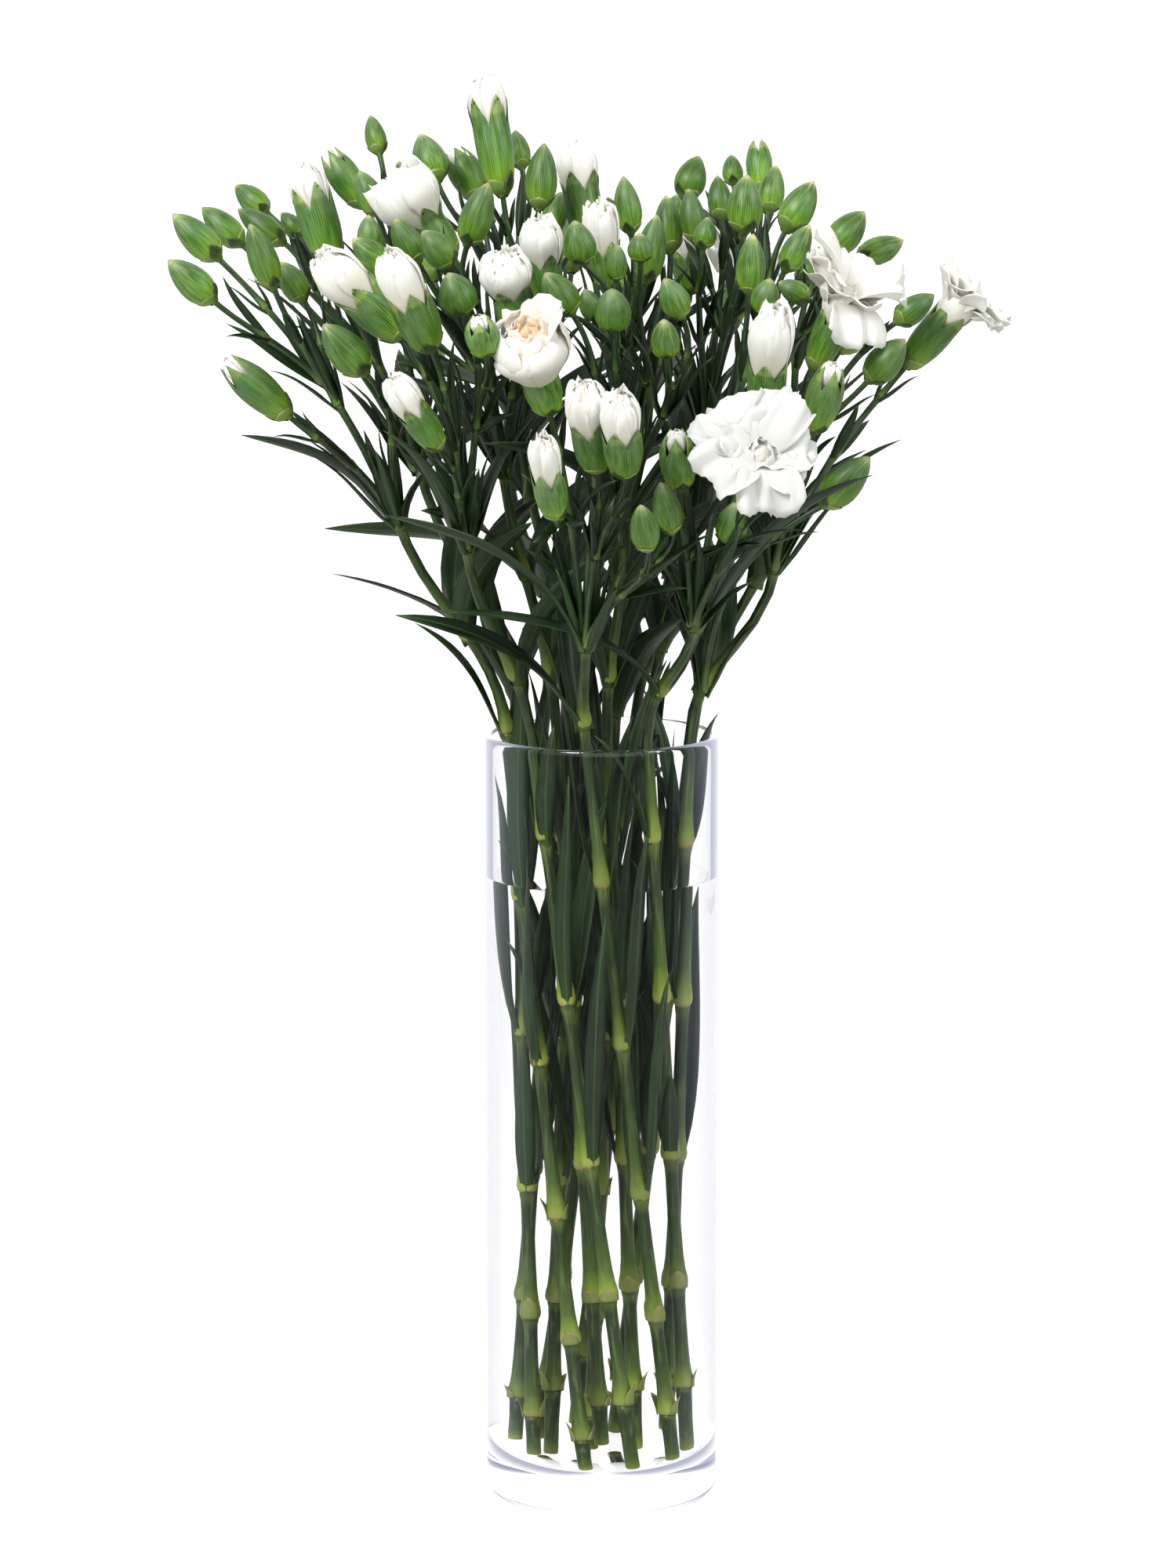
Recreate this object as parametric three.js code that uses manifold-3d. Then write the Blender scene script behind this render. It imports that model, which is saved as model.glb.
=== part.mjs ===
// Spray carnations, mostly in bud, standing in a clear cylinder vase of water.
// Millimetres. The origin is the centre of the vase's foot, +Z is up and -Y is the front.

import * as THREE from "three";
import { mergeVertices } from "three/addons/utils/BufferGeometryUtils.js";
import Module from "manifold-3d";

// ---- Driving dimensions ----

const VASE = { height: 300, radius: 45, wall: 3, floor: 15, heel: 6, innerHeel: 9, sides: 24 };
const WATER_LEVEL = 245;
const GAP = 0.3; // between pieces that touch on the real thing

// The bunch is a spiral sheaf: seen from above its foot is turned and narrowed against its rim.
const SHEAF = { turn: 70, narrow: 0.9, standing: 0.6 };
const STEM = { radius: 2.9, crownRadius: 2.1, jointSwell: 1.55, crownSwell: 1.2, jointHalf: 5, sides: 5 };
const STEM_BEND = { leave: 0.4, arrive: 0.35 }; // how far it keeps its directions over the rim
// Joints stand further apart up the stem, and closer again over the water.
const INTERNODE = {
  lowest: 10, strayLow: 24, first: 34, strayFirst: 8, step: 11, most: 64,
  upper: 42, upperFrom: 260, end: 0.6,
};
const TWIG = {
  radius: 1.35, lead: 1.15, sides: 3, rings: [0, 0.4, 0.8], rods: 7,
  leave: 0.42, arrive: 0.3, // how far a twig keeps its first and last directions
  aside: 1.6, toHead: 2, // a shoot's start off its joint's middle, and its pull to its head
  fork: 0.45, forkAside: 0.7, forkPull: 1.5,
  clear: 12, drop: 38, slant: 0.55, // a root's least height over the rim and below its head
  bows: [[0, 1], [7, 6], [14, 6], [21, 8], [28, 8]], // how far aside, and how many ways round
};
const HEAD_SIDES = 5;
const CALYX = { tooth: 3.2, crater: 1.2 };
// Leaves are long over the water and shorter, but more spread, towards the crowns.
const LEAF = {
  long: 104, short: 62, width: 8.8, keel: 1.5, root: 1.9, lowest: 250, highest: 410,
  upright: 0.25, opening: 0.4, straying: 0.35, leastSpread: 0.12, mostSpread: 0.95,
  hug: [0.3, 0.1], arch: [0.12, 0.62, 0.45], twist: 140, wander: 0.8,
  shares: [1, 0.8, 0.6], spreads: [0, -0.2, 0.2, -0.4], asides: [0, 22, -22, 44, -44, 66, -66],
};
const ROOM = 0.9; // the least air that a twig or a leaf leaves round itself
const ROOT = 15; // and how far from its root it may touch its own stem

// Bud and calyx outlines: share of the length, share of the width.
const BUD_OUTLINE = [[0, 0.24], [0.34, 0.52], [0.7, 0.4]];
const CALYX_OUTLINE = [[0, 0.22], [0.34, 0.44], [0.76, 0.53]];
// Leaf outline: share of the way to the tip, share of the width.
const LEAF_OUTLINE = [[0, 0.35], [0.3, 1], [0.66, 0.8], [1, 0]];

// Each stem: its place at the rim, its crown (where the main stem divides) and its shoots.
// A shoot is one or more heads: the first leads, and the others fork from its twig.
// A head: kind, x, y, z of its base, lean to the right in the front view in degrees,
// length, width, and for a flower its name, with a forward lean where it isn't the usual one.
const STEMS = [
  { rim: [-36, -8], crown: [-76, -30, 384], foot: 0, shoots: [
    [["bud", -143, -20, 482, -45, 24, 12.4], ["bud", -143, -47, 468, -47, 23, 12.4]],
    [["bud", -121, -47, 473, -19, 26, 11.2], ["bud", -111, -28, 467, -30, 17, 10.6]],
    [["bud", -115, -62, 427, -47, 27, 13.6]],
    [["bud", -86, -78, 444, -39, 25, 14.2]],
  ] },
  { rim: [-31, 18], crown: [-70, 30, 398], foot: 4, shoots: [
    [
      ["half", -104, 14, 483, -17, 22, 15.4, "left_high", { spread: 7, height: 12 }],
      ["bud", -116, 44, 487, -40, 12, 8],
    ],
    [["bud", -137, 20, 485, -47, 21, 11.2], ["bud", -122, 34, 485, -54, 22, 10.6]],
    [["bud", -130, 62, 495, -50, 17, 10.6]],
    [["bud", -91, 32, 499, -34, 22, 12.4], ["bud", -86, 57, 518, -14, 16, 8.4]],
    [["bud", -85, 8, 497, -22, 18, 10.6]],
  ] },
  { rim: [-26, -26], crown: [-50, -56, 378], foot: 0, shoots: [
    [
      ["half", -62, -84, 453, -22, 19, 16, "left_upper", { spread: 7.6, height: 19 }],
      ["half", -76, -68, 460, -45, 20, 16.5, "left_outer", { spread: 8.6, height: 19 }],
    ],
    [["half", -59, -92, 418, -32, 16, 12, "left_low", { spread: 5.8, height: 14 }]],
    [["bud", -79, -42, 479, -47, 18, 11.2], ["bud", -86, -26, 485, -4, 14, 9.6]],
    [["bud", -50, -64, 465, -23, 17, 14], ["bud", -42, -96, 452, -10, 14, 12.4]],
  ] },
  { rim: [-17, -8], crown: [-37, -22, 402], foot: 8, shoots: [
    [
      ["half", -56, -8, 482, -37, 15, 14, "left_wide", { spread: 12.5, height: 20 }],
      ["bud", -73, 6, 505, -17, 13, 7.8],
    ],
    [["bud", -50, -36, 488, 19, 25, 12.4], ["bud", -68, -42, 482, -27, 19, 11.2]],
    [["bud", -55, -55, 482, -41, 17, 12.4]],
    [
      ["half", -32, -58, 461, -10, 13, 13, "centre_left", { spread: 9.5, height: 15 }],
      ["half", -20, -31, 467, -7, 13, 13, "centre_back", { spread: 8, height: 15 }],
    ],
  ] },
  { rim: [-10, 19], crown: [-31, 36, 412], foot: 0, shoots: [
    [
      ["half", -39, 30, 510, -10, 26, 14.4, "top", { spread: 7, height: 13 }],
      ["bud", -63, 36, 508, -20, 20, 13.6],
    ],
    [["bud", -47, 54, 501, -30, 19, 13.6], ["bud", -31, 68, 512, -11, 16, 9]],
    [["bud", -24, 12, 499, 5, 25, 12.4], ["bud", -20, 42, 488, 15, 17, 10]],
  ] },
  { rim: [-6, -36], crown: [-6, -70, 343], foot: 0, shoots: [
    [
      ["half", -2, -103, 411, -9, 17, 14.4, "front_left", { spread: 7.6, height: 18 }],
      ["half", 8, -117, 411, -5, 17, 14.4, "front_right", { spread: 7, height: 17 }],
    ],
    [
      ["open", -20, -84, 433, -15, 14, 14, "front_rose", { spread: 14, height: 21 }],
      ["half", -17, -119, 396, -9, 17, 12, "front_low", { spread: 5, height: 17 }],
    ],
    [["bud", 16, -124, 385, -9, 22, 10.6], ["bud", 25, -104, 389, -13, 23, 10.6]],
    [["bud", -11, -68, 465, -33, 19, 13]],
  ] },
  { rim: [2, -15], crown: [8, -44, 388], foot: 3, shoots: [
    [["bud", -7, -50, 482, -12, 17, 12.4], ["bud", -2, -46, 461, -22, 13, 9]],
    [["bud", 4, -82, 460, -3, 17, 13.6], ["bud", 5, -64, 477, 2, 14, 7.8]],
    [
      ["half", 2, -24, 474, -7, 13, 12, "centre_mid", { spread: 6.5, height: 17 }],
      ["bud", 14, -52, 483, -2, 11, 9.6],
    ],
    [["bud", 29, -73, 464, -25, 17, 11.2], ["bud", 23, -92, 451, -5, 16, 10.6]],
  ] },
  { rim: [5, 7], crown: [8, 16, 404], foot: 0, shoots: [
    [
      ["half", -6, 30, 491, -8, 18, 14.4, "centre_high", { spread: 7.5, height: 15 }],
      ["bud", 4, 56, 490, -8, 12, 8.4],
    ],
    [["bud", 11, 4, 490, -8, 22, 10.6], ["bud", 16, -17, 473, 10, 26, 11.8]],
    [
      ["bud", 26, 22, 482, -4, 22, 11.2],
      ["half", 34, 44, 468, -11, 12, 11, "right_back", { spread: 5.5, height: 14 }],
    ],
  ] },
  { rim: [18, 20], crown: [40, 38, 412], foot: 6, shoots: [
    [["bud", 46, 35, 494, -6, 17, 9.6], ["bud", 32, 53, 501, 19, 18, 12.4]],
    [["bud", 62, 66, 503, -3, 18, 10.4], ["bud", 52, 79, 505, -6, 13, 8.4]],
    [["bud", 53, -8, 491, 3, 22, 13.6], ["bud", 36, 14, 486, -9, 21, 10]],
    [["bud", 38, -4, 485, 9, 12, 9]],
  ] },
  { rim: [17, -32], crown: [34, -68, 350], foot: 0, shoots: [
    [["open", 54, -104, 404, 8, 16, 14.4, "right_front", { forward: 52, spread: 21.5 }]],
    [["bud", 28, -96, 404, -5, 21, 13.6], ["bud", 46, -84, 383, 7, 17, 11.8]],
    [["half", 59, -78, 434, 4, 15, 14.4, "right_egg", { spread: 8, height: 24 }]],
    [["bud", 54, -48, 471, 3, 23, 11.2], ["bud", 58, -65, 465, 13, 14, 10.6]],
  ] },
  { rim: [33, -15], crown: [64, -40, 368], foot: 4, shoots: [
    [["open", 78, -46, 443, 22, 18, 12.6, "right_wide"], ["bud", 98, -50, 439, 40, 21, 13]],
    [["open", 117, -22, 446, 40, 20, 13.4, "right_far"]],
    [["bud", 77, -78, 423, 14, 24, 13.6]],
    [["bud", 81, -62, 394, 42, 26, 13.6]],
  ] },
  { rim: [35, 9], crown: [70, 20, 392], foot: 0, shoots: [
    [["bud", 70, 24, 490, 30, 22, 13], ["bud", 64, 44, 496, 10, 19, 10.6]],
    [["bud", 69, 3, 476, 28, 20, 10.4], ["bud", 77, -20, 467, -60, 13, 9]],
    [["bud", 88, 32, 482, 40, 20, 13], ["bud", 99, 52, 477, 66, 20, 11.8]],
    [["bud", 112, 14, 456, 54, 18, 10.6]],
  ] },
  { rim: [-14, 34], crown: [-36, 72, 388], foot: 5, shoots: [
    [["half", -68, 104, 470, -22, 18, 14, "rear_left"], ["bud", -94, 88, 462, -32, 20, 12]],
    [["bud", -46, 92, 487, -12, 20, 11.6]],
    [["half", -12, 102, 474, -3, 18, 14, "rear_centre"], ["bud", -34, 122, 452, -8, 21, 12.6]],
    [["bud", -66, 112, 428, -24, 22, 12.6]],
  ] },
  { rim: [13, 34], crown: [34, 76, 384], foot: 0, shoots: [
    [["open", 50, 112, 448, 15, 18, 13, "rear_right"], ["bud", 80, 98, 464, 28, 20, 12.4]],
    [["bud", 28, 98, 484, 8, 19, 11.4]],
    [["bud", 6, 126, 458, 3, 21, 12.4], ["bud", 22, 128, 430, 6, 18, 11]],
    [["bud", 94, 80, 440, 40, 22, 12.8]],
  ] },
];

// How far the petals spread from the axis and how high they stand over the calyx.
const FLOWER = {
  bud: {},
  half: { spread: 8.5, height: 17 },
  open: { spread: 19.5, height: 16 },
};
const PETALS = { furled: 5, lobes: 8 };
// The petals' claws in the calyx: share of its width, height over its edge.
const NECK = [[0.26, 2], [0.56, 5.4]];
// Furled petals: share of the spread, share of the height, how far every second corner dips.
const FURLED = [[1, 0.62, 0.16, 0.6], [0.74, 1, 0.26, 2.6]];
// Open tiers, rim and valley by turns: share of the spread, share of the height, how far every
// second corner dips and drops, and whether the tier is turned by half a lobe.
const TIERS = [
  [1, 0.5, 0.14, 1.4, 0],
  [0.7, 0.6, 0.06, 0.5, 0],
  [0.76, 0.9, 0.16, 1.3, 1],
  [0.44, 0.78, 0.06, 0.4, 1],
  [0.46, 1.12, 0.2, 1.2, 0],
];
const HEART = 0.8; // how high the middle of the flower stands, as a share of its height
const OUTWARD_LEAN = 0.3; // degrees of lean away from the bunch's middle for each millimetre from it

const COLOUR = { glass: 0xeaf1f2, water: 0xdfeae6, green: 0x4f7f3c, petal: 0xf6f5f2 };

const wasm = await Module();
wasm.setup();

// ---- Small tools ----

const V = (x, y, z) => new THREE.Vector3(x, y, z);
const UP = V(0, 0, 1);
const degrees = THREE.MathUtils.degToRad;

let drawn = 20241;
// A number from 0 to 1, the same ones in the same order each time.
function draw() {
  drawn = (drawn * 16807) % 2147483647;
  return drawn / 2147483647;
}

const bezier = (points, steps) => new THREE.CubicBezierCurve3(...points).getPoints(steps);

// Directions at each of a line's points: along it, across it on the wanted side, and square to both.
function framesOf(points, side) {
  const last = points.length - 1;
  return points.map((_, i) => {
    const along = points[Math.min(i + 1, last)].clone().sub(points[Math.max(i - 1, 0)]).normalize();
    const across = side.clone().addScaledVector(along, -side.dot(along)).normalize();
    return { along, across, square: across.clone().cross(along) };
  });
}

// Rings of corners along a line. outlines[i] lists a ring's corners as [across, square, on].
function ringsAlong(points, side, outlines) {
  const frames = framesOf(points, side);
  return points.map((point, i) => outlines[i].map(([a, b, on = 0]) => {
    const { along, across, square } = frames[i];
    return point.clone().addScaledVector(across, a).addScaledVector(square, b).addScaledVector(along, on);
  }));
}

const POINT = [[0, 0]];
const circle = (radius, sides) => Array.from({ length: sides }, (_, k) => {
  const turn = (2 * Math.PI * k) / sides;
  return [radius * Math.sin(turn), radius * Math.cos(turn)];
});

// A closed skin over a row of rings, whatever their numbers of corners. A ring may be a point.
function skin(rings) {
  const corners = rings.flat();
  const starts = rings.map((_, i) => rings.slice(0, i).flat().length);
  const faces = [];
  for (let i = 1; i < rings.length; i++) {
    const [a, b] = [rings[i - 1].length, rings[i].length];
    const [low, high] = [(k) => starts[i - 1] + (k % a), (k) => starts[i] + (k % b)];
    for (let j = 0, k = 0; j < a || k < b;) {
      if (b === 1 || (a > 1 && (j + 1) * b <= (k + 1) * a)) {
        faces.push(low(j), low(j + 1), high(k));
        j += 1;
        if (b === 1 && j === a) break;
      } else {
        faces.push(low(j), high(k + 1), high(k));
        k += 1;
        if (a === 1 && k === b) break;
      }
    }
  }
  const end = starts[rings.length - 1];
  for (let k = 1; k < rings[0].length - 1; k++) faces.push(0, k + 1, k);
  for (let k = 1; k < rings.at(-1).length - 1; k++) faces.push(end, end + k, end + k + 1);
  const geometry = new THREE.BufferGeometry().setFromPoints(corners);
  geometry.setIndex(faces);
  return geometry;
}

// A geometry as a solid that can be joined and cut.
function solid(geometry) {
  const bare = geometry.clone();
  bare.deleteAttribute("normal");
  bare.deleteAttribute("uv");
  const merged = mergeVertices(bare, 1e-4);
  return new wasm.Manifold(new wasm.Mesh({
    numProp: 3,
    vertProperties: new Float32Array(merged.attributes.position.array),
    triVerts: new Uint32Array(merged.index.array),
  }));
}

const fuse = (geometries) => geometries.map(solid).reduce((all, next) => all.add(next));

function mesh(name, made, material) {
  const { vertProperties, triVerts } = made.getMesh();
  const geometry = new THREE.BufferGeometry();
  geometry.setAttribute("position", new THREE.BufferAttribute(vertProperties, 3));
  geometry.setIndex(new THREE.BufferAttribute(triVerts, 1));
  geometry.computeVertexNormals();
  const out = new THREE.Mesh(geometry, material);
  out.name = name;
  return out;
}

// ---- What takes up room: round-ended rods along every stem, twig, head and leaf ----

const rods = [];

// Rods along a line of points. radii is one number or one for each point.
function occupy(points, radii, owner, part = null) {
  for (let i = 1; i < points.length; i++) {
    const run = points[i].clone().sub(points[i - 1]);
    rods.push({ a: points[i - 1], run, r: radii[i] ?? radii, owner, part });
  }
}

// The air between a ball and a rod.
function rodAir({ a, run, r }, at, radius) {
  const [x, y, z] = [at.x - a.x, at.y - a.y, at.z - a.z];
  const share = (x * run.x + y * run.y + z * run.z) / run.lengthSq();
  const t = Math.min(Math.max(share, 0), 1);
  return Math.hypot(x - t * run.x, y - t * run.y, z - t * run.z) - r - radius;
}

// The air between a ball and the glass: the wall below the rim, and the rim's edge above it.
function glassAir(at, r) {
  const out = Math.hypot(at.x, at.y);
  if (at.z < VASE.height) return VASE.radius - VASE.wall - out - r;
  return Math.hypot(VASE.radius - VASE.wall / 2 - out, at.z - VASE.height) - VASE.wall / 2 - r;
}

// The least air round a line of balls, to the glass and to all rods, but for its own part, and
// near its root also its own stem. It stops looking once there is less than enough.
function air(points, radii, { owner, part }, enough) {
  let least = Infinity;
  for (let i = 0; i < points.length && least > enough; i++) {
    const r = radii[i] ?? radii;
    const rooted = points[i].distanceTo(points[0]) < ROOT;
    least = Math.min(least, glassAir(points[i], r));
    for (const rod of rods) {
      if (rod.owner === owner && (rooted || rod.part === part)) continue;
      const spare = rod.owner === owner ? ROOM - GAP : 0;
      least = Math.min(least, rodAir(rod, points[i], r) + spare);
    }
  }
  return least;
}

// ---- The sheaf of main stems ----

// A stem's middle at a height below the rim: straight, by one linear map for all stems,
// so that no two of them meet.
function inVase([x, y], z) {
  const share = 1 - z / VASE.height;
  const turn = degrees(SHEAF.turn);
  const c = 1 - share + share * SHEAF.narrow * Math.cos(turn);
  const s = share * SHEAF.narrow * Math.sin(turn);
  return V(c * x - s * y, s * x + c * y, z);
}

function stemLine(stem) {
  const foot = VASE.floor + SHEAF.standing + stem.foot;
  const low = inVase(stem.rim, foot);
  const rim = inVase(stem.rim, VASE.height);
  const crown = V(...stem.crown);
  const rise = rim.clone().sub(low).normalize();
  const reach = crown.distanceTo(rim);
  const lead = headOf(stem.shoots[0][0]).base.clone().sub(crown).normalize().add(UP).normalize();
  const bend = [
    rim,
    rim.clone().addScaledVector(rise, STEM_BEND.leave * reach),
    crown.clone().addScaledVector(lead, -STEM_BEND.arrive * reach),
    crown,
  ];
  return { low, rim, bend, lead };
}

// Every joint's distance from the cut end, up to the crown.
function jointPlaces(length) {
  const places = [];
  let at = INTERNODE.lowest + INTERNODE.strayLow * draw();
  let step = INTERNODE.first + INTERNODE.strayFirst * draw();
  while (at < length - INTERNODE.end * INTERNODE.upper) {
    places.push(at);
    at += step;
    const most = at > INTERNODE.upperFrom ? INTERNODE.upper : INTERNODE.most;
    step = Math.min(step + INTERNODE.step, most);
  }
  return [...places, length];
}

// ---- Heads ----

function headOf([kind, x, y, z, lean, length, width, name, size = {}]) {
  const back = -(size.forward ?? -OUTWARD_LEAN * y);
  const axis = V(Math.tan(degrees(lean)), Math.tan(degrees(back)), 1).normalize();
  const key = `${x} ${y} ${z}`;
  return { kind, key, base: V(x, y, z), axis, length, width, name, ...FLOWER[kind], ...size };
}

const onAxis = (head, height) => head.base.clone().addScaledVector(head.axis, height);

// A twig with its bud, or with the calyx of an opening flower: a tube with pointed teeth round
// a shallow crater.
function twigSkin({ ends, radius, head }) {
  const sides = HEAD_SIDES;
  const outline = head.name ? CALYX_OUTLINE : BUD_OUTLINE;
  const points = TWIG.rings.map((t) => new THREE.CubicBezierCurve3(...ends).getPoint(t));
  const shapes = TWIG.rings.map(() => circle(radius, TWIG.sides));
  for (const [share, wide] of outline) {
    points.push(onAxis(head, share * head.length));
    shapes.push(circle(wide * head.width, sides));
  }
  if (head.name) {
    points.push(onAxis(head, head.length), onAxis(head, head.length - CALYX.crater));
    const teeth = circle(0.5 * head.width, 2 * sides);
    shapes.push(teeth.map(([a, b], k) => [a, b, k % 2 ? 0 : CALYX.tooth]), POINT);
  } else {
    points.push(onAxis(head, head.length));
    shapes.push(POINT);
  }
  return skin(ringsAlong(points, V(0, 1, 0), shapes));
}

// ---- Petals ----

// A flower's claws stand in the calyx; the rings of its petals follow, and its heart closes it.
function bloomSolid(head, sides, shapes, heights) {
  const neck = NECK.map(([share]) => circle(share * head.width, sides));
  const all = [-0.5 * CALYX.crater, ...NECK.map(([, h]) => h), ...heights, HEART * head.height];
  const points = all.map((h) => onAxis(head, head.length + h));
  return solid(skin(ringsAlong(points, V(0, 1, 0), [POINT, ...neck, ...shapes, POINT])));
}

// Petals still furled: a cone whose skin is raised in petals by turns, out and in.
function halfBloom(head) {
  const sides = 2 * PETALS.furled;
  const shapes = FURLED.map(([wide, , dip, drop]) => {
    return circle(wide * head.spread, sides).map(([a, b], k) => {
      const out = k % 2 ? 1 - dip : 1;
      return [a * out, b * out, k % 2 ? -drop : 0.3 * drop * draw()];
    });
  });
  return bloomSolid(head, sides, shapes, FURLED.map(([, high]) => high * head.height));
}

// An open flower: three tiers of ruffled petals, each a lobed skirt whose lobes stand between
// those of the tier below.
function openBloom(head) {
  const sides = 2 * PETALS.lobes;
  const shapes = TIERS.map(([wide, , dip, drop, turned]) => {
    return circle(wide * head.spread, sides).map(([a, b], k) => {
      const dips = (k + turned) % 2;
      const out = dips ? 1 - dip : 1;
      return [a * out, b * out, (dips ? -drop : drop) * (0.7 + 0.6 * draw())];
    });
  });
  return bloomSolid(head, sides, shapes, TIERS.map(([, high]) => high * head.height));
}

// ---- Twigs ----

// A twig leaves its joint upwards and arrives along its head's axis. Where something is in the
// way it bows aside, and takes the first bow that leaves room, or else the roomiest.
function twig(from, leave, head, owner, radius) {
  const run = from.distanceTo(head.base);
  const chord = head.base.clone().sub(from).normalize();
  const right = V(0, 1, 0).addScaledVector(chord, -chord.y).normalize();
  const front = chord.clone().cross(right);
  let best = null;
  for (const [bow, ways] of TWIG.bows) {
    for (let k = 0; k < ways; k++) {
      const turn = (2 * Math.PI * k) / ways;
      const aside = right.clone().multiplyScalar(bow * Math.cos(turn));
      aside.addScaledVector(front, bow * Math.sin(turn));
      const ends = [
        from,
        from.clone().addScaledVector(leave, TWIG.leave * run).add(aside),
        head.base.clone().addScaledVector(head.axis, -TWIG.arrive * run).add(aside),
        head.base,
      ];
      const points = bezier(ends, Math.ceil(run / 3)).slice(1);
      const room = air(points, radius, { owner, part: head.key }, -Infinity);
      if (!best || room > best.room) best = { ends, head, radius, room };
      if (room >= ROOM) break;
    }
    if (best.room >= ROOM) break;
  }
  occupy(bezier(best.ends, TWIG.rods), radius, owner);
  return best;
}

// ---- Leaves ----

// A leaf's middle line: it hugs the stem, then arches out to its tip.
function leafLine(from, grow, out, spread, reach) {
  const rise = LEAF.mostSpread * Math.sqrt(1 - spread * spread);
  const [low, high, far] = LEAF.arch;
  return [
    from.clone().addScaledVector(out, LEAF.root).addScaledVector(grow, -LEAF.root),
    from.clone().addScaledVector(grow, LEAF.hug[0] * reach).addScaledVector(out, LEAF.hug[1] * reach),
    from.clone().addScaledVector(UP, (low + high * rise) * reach)
      .addScaledVector(out, far * spread * reach),
    from.clone().addScaledVector(UP, rise * reach).addScaledVector(out, spread * reach),
  ];
}

// A leaf turns, rises, opens or shortens until it has room, or is left off.
function leaf(from, grow, blade, owner) {
  for (const share of LEAF.shares) {
    for (const more of LEAF.spreads) {
      const spread = Math.min(Math.max(blade.spread + more, LEAF.leastSpread), LEAF.mostSpread);
      for (const aside of LEAF.asides) {
        const a = blade.turn + degrees(aside);
        const out = V(Math.cos(a), Math.sin(a), 0);
        const reach = blade.length * share;
        const ends = leafLine(from, grow, out, spread, reach);
        const points = bezier(ends, Math.ceil(reach / 4)).slice(1);
        const radii = points.map((_, i) => blade.width * (0.55 - 0.4 * (i / points.length)));
        if (air(points, radii, { owner }, ROOM) < ROOM) continue;
        occupy(points, radii, owner);
        return { ...blade, ends, out };
      }
    }
  }
  return null;
}

// A keeled blade, twisting towards its tip.
function leafSkin({ ends, out, width, twist }) {
  const curve = new THREE.CubicBezierCurve3(...ends);
  const points = LEAF_OUTLINE.map(([t]) => curve.getPoint(t));
  const shapes = LEAF_OUTLINE.map(([t, share]) => {
    const [half, keel] = [0.5 * width * share, LEAF.keel * Math.max(share, 0.5)];
    const [c, s] = [Math.cos(twist * t), Math.sin(twist * t)];
    return share ? [[keel * s, keel * c], [half * c, -half * s], [-half * c, half * s]] : POINT;
  });
  return skin(ringsAlong(points, V(out.y, -out.x, 0), shapes));
}

// ---- Planning: heads, then stems, then twigs, then leaves ----

function plan() {
  const stems = STEMS.map((stem, i) => ({ ...stem, owner: i, ...stemLine(stem), twigs: [], leaves: [] }));
  for (const stem of stems) {
    for (const head of stem.shoots.flat().map(headOf)) {
      const line = [0.2, 0.5, 0.8, 1].map((share) => onAxis(head, share * head.length));
      occupy(line, 0.5 * head.width, stem.owner, head.key);
      if (head.name) {
        const wide = (head.kind === "open" ? 0.8 : 1) * head.spread;
        const petals = [4, head.height].map((h) => onAxis(head, head.length + h));
        occupy(petals, wide, head.name);
      }
    }
    const { low, rim, bend } = stem;
    stem.points = [low, ...bezier(bend, 12)];
    occupy(stem.points, STEM.radius * STEM.jointSwell, stem.owner);
  }
  for (const stem of stems) {
    stem.length = lineLength(stem.points);
    stem.joints = jointPlaces(stem.length).map((at) => ({ at, ...alongLine(stem.points, at) }));
  }
  for (const stem of stems) {
    stem.shoots.forEach((shoot, k) => growShoot(stem, shoot.map(headOf), k));
  }
  for (const stem of stems) growLeaves(stem);
  return stems;
}

function lineLength(points) {
  return points.slice(1).reduce((sum, p, i) => sum + p.distanceTo(points[i]), 0);
}

// The point and the direction at a distance along a line of points.
function alongLine(points, distance) {
  let left = distance;
  for (let i = 1; i < points.length; i++) {
    const step = points[i].distanceTo(points[i - 1]);
    if (left <= step || i === points.length - 1) {
      const along = points[i].clone().sub(points[i - 1]).normalize();
      return { point: points[i - 1].clone().addScaledVector(along, Math.min(left, step)), along };
    }
    left -= step;
  }
}

// The joint that a shoot leaves from: the crown for the leader, and for the others the highest
// joint that is far enough below the head for its sideways reach.
function rootJoint(stem, head, leads) {
  const joints = stem.joints.filter(({ point }) => point.z > VASE.height + TWIG.clear);
  if (leads) return joints[joints.length - 1];
  const fits = joints.filter(({ point }) => {
    const aside = Math.hypot(head.base.x - point.x, head.base.y - point.y);
    return head.base.z - point.z > Math.max(TWIG.drop, TWIG.slant * aside);
  });
  return fits[fits.length - 1] ?? joints[0];
}

function growShoot(stem, heads, k) {
  const [lead, ...rest] = heads;
  const root = rootJoint(stem, lead, k === 0);
  const toHead = lead.base.clone().sub(root.point).normalize();
  const aside = toHead.clone().addScaledVector(root.along, -toHead.dot(root.along)).normalize();
  const from = root.point.clone().addScaledVector(aside, k ? TWIG.aside : 0);
  const leave = root.along.clone().add(UP).addScaledVector(toHead, TWIG.toHead).normalize();
  const main = twig(from, leave, lead, stem.owner, TWIG.radius * TWIG.lead);
  stem.twigs.push(main);
  const curve = new THREE.CubicBezierCurve3(...main.ends);
  const fork = curve.getPoint(TWIG.fork);
  const along = curve.getTangent(TWIG.fork);
  for (const head of rest) {
    const apart = head.base.clone().sub(fork).normalize();
    const aim = apart.clone().multiplyScalar(TWIG.forkPull).add(along).normalize();
    const side = apart.addScaledVector(along, -apart.dot(along)).normalize();
    const start = fork.clone().addScaledVector(side, TWIG.forkAside);
    stem.twigs.push(twig(start, aim, head, stem.owner, TWIG.radius));
  }
}

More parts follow.
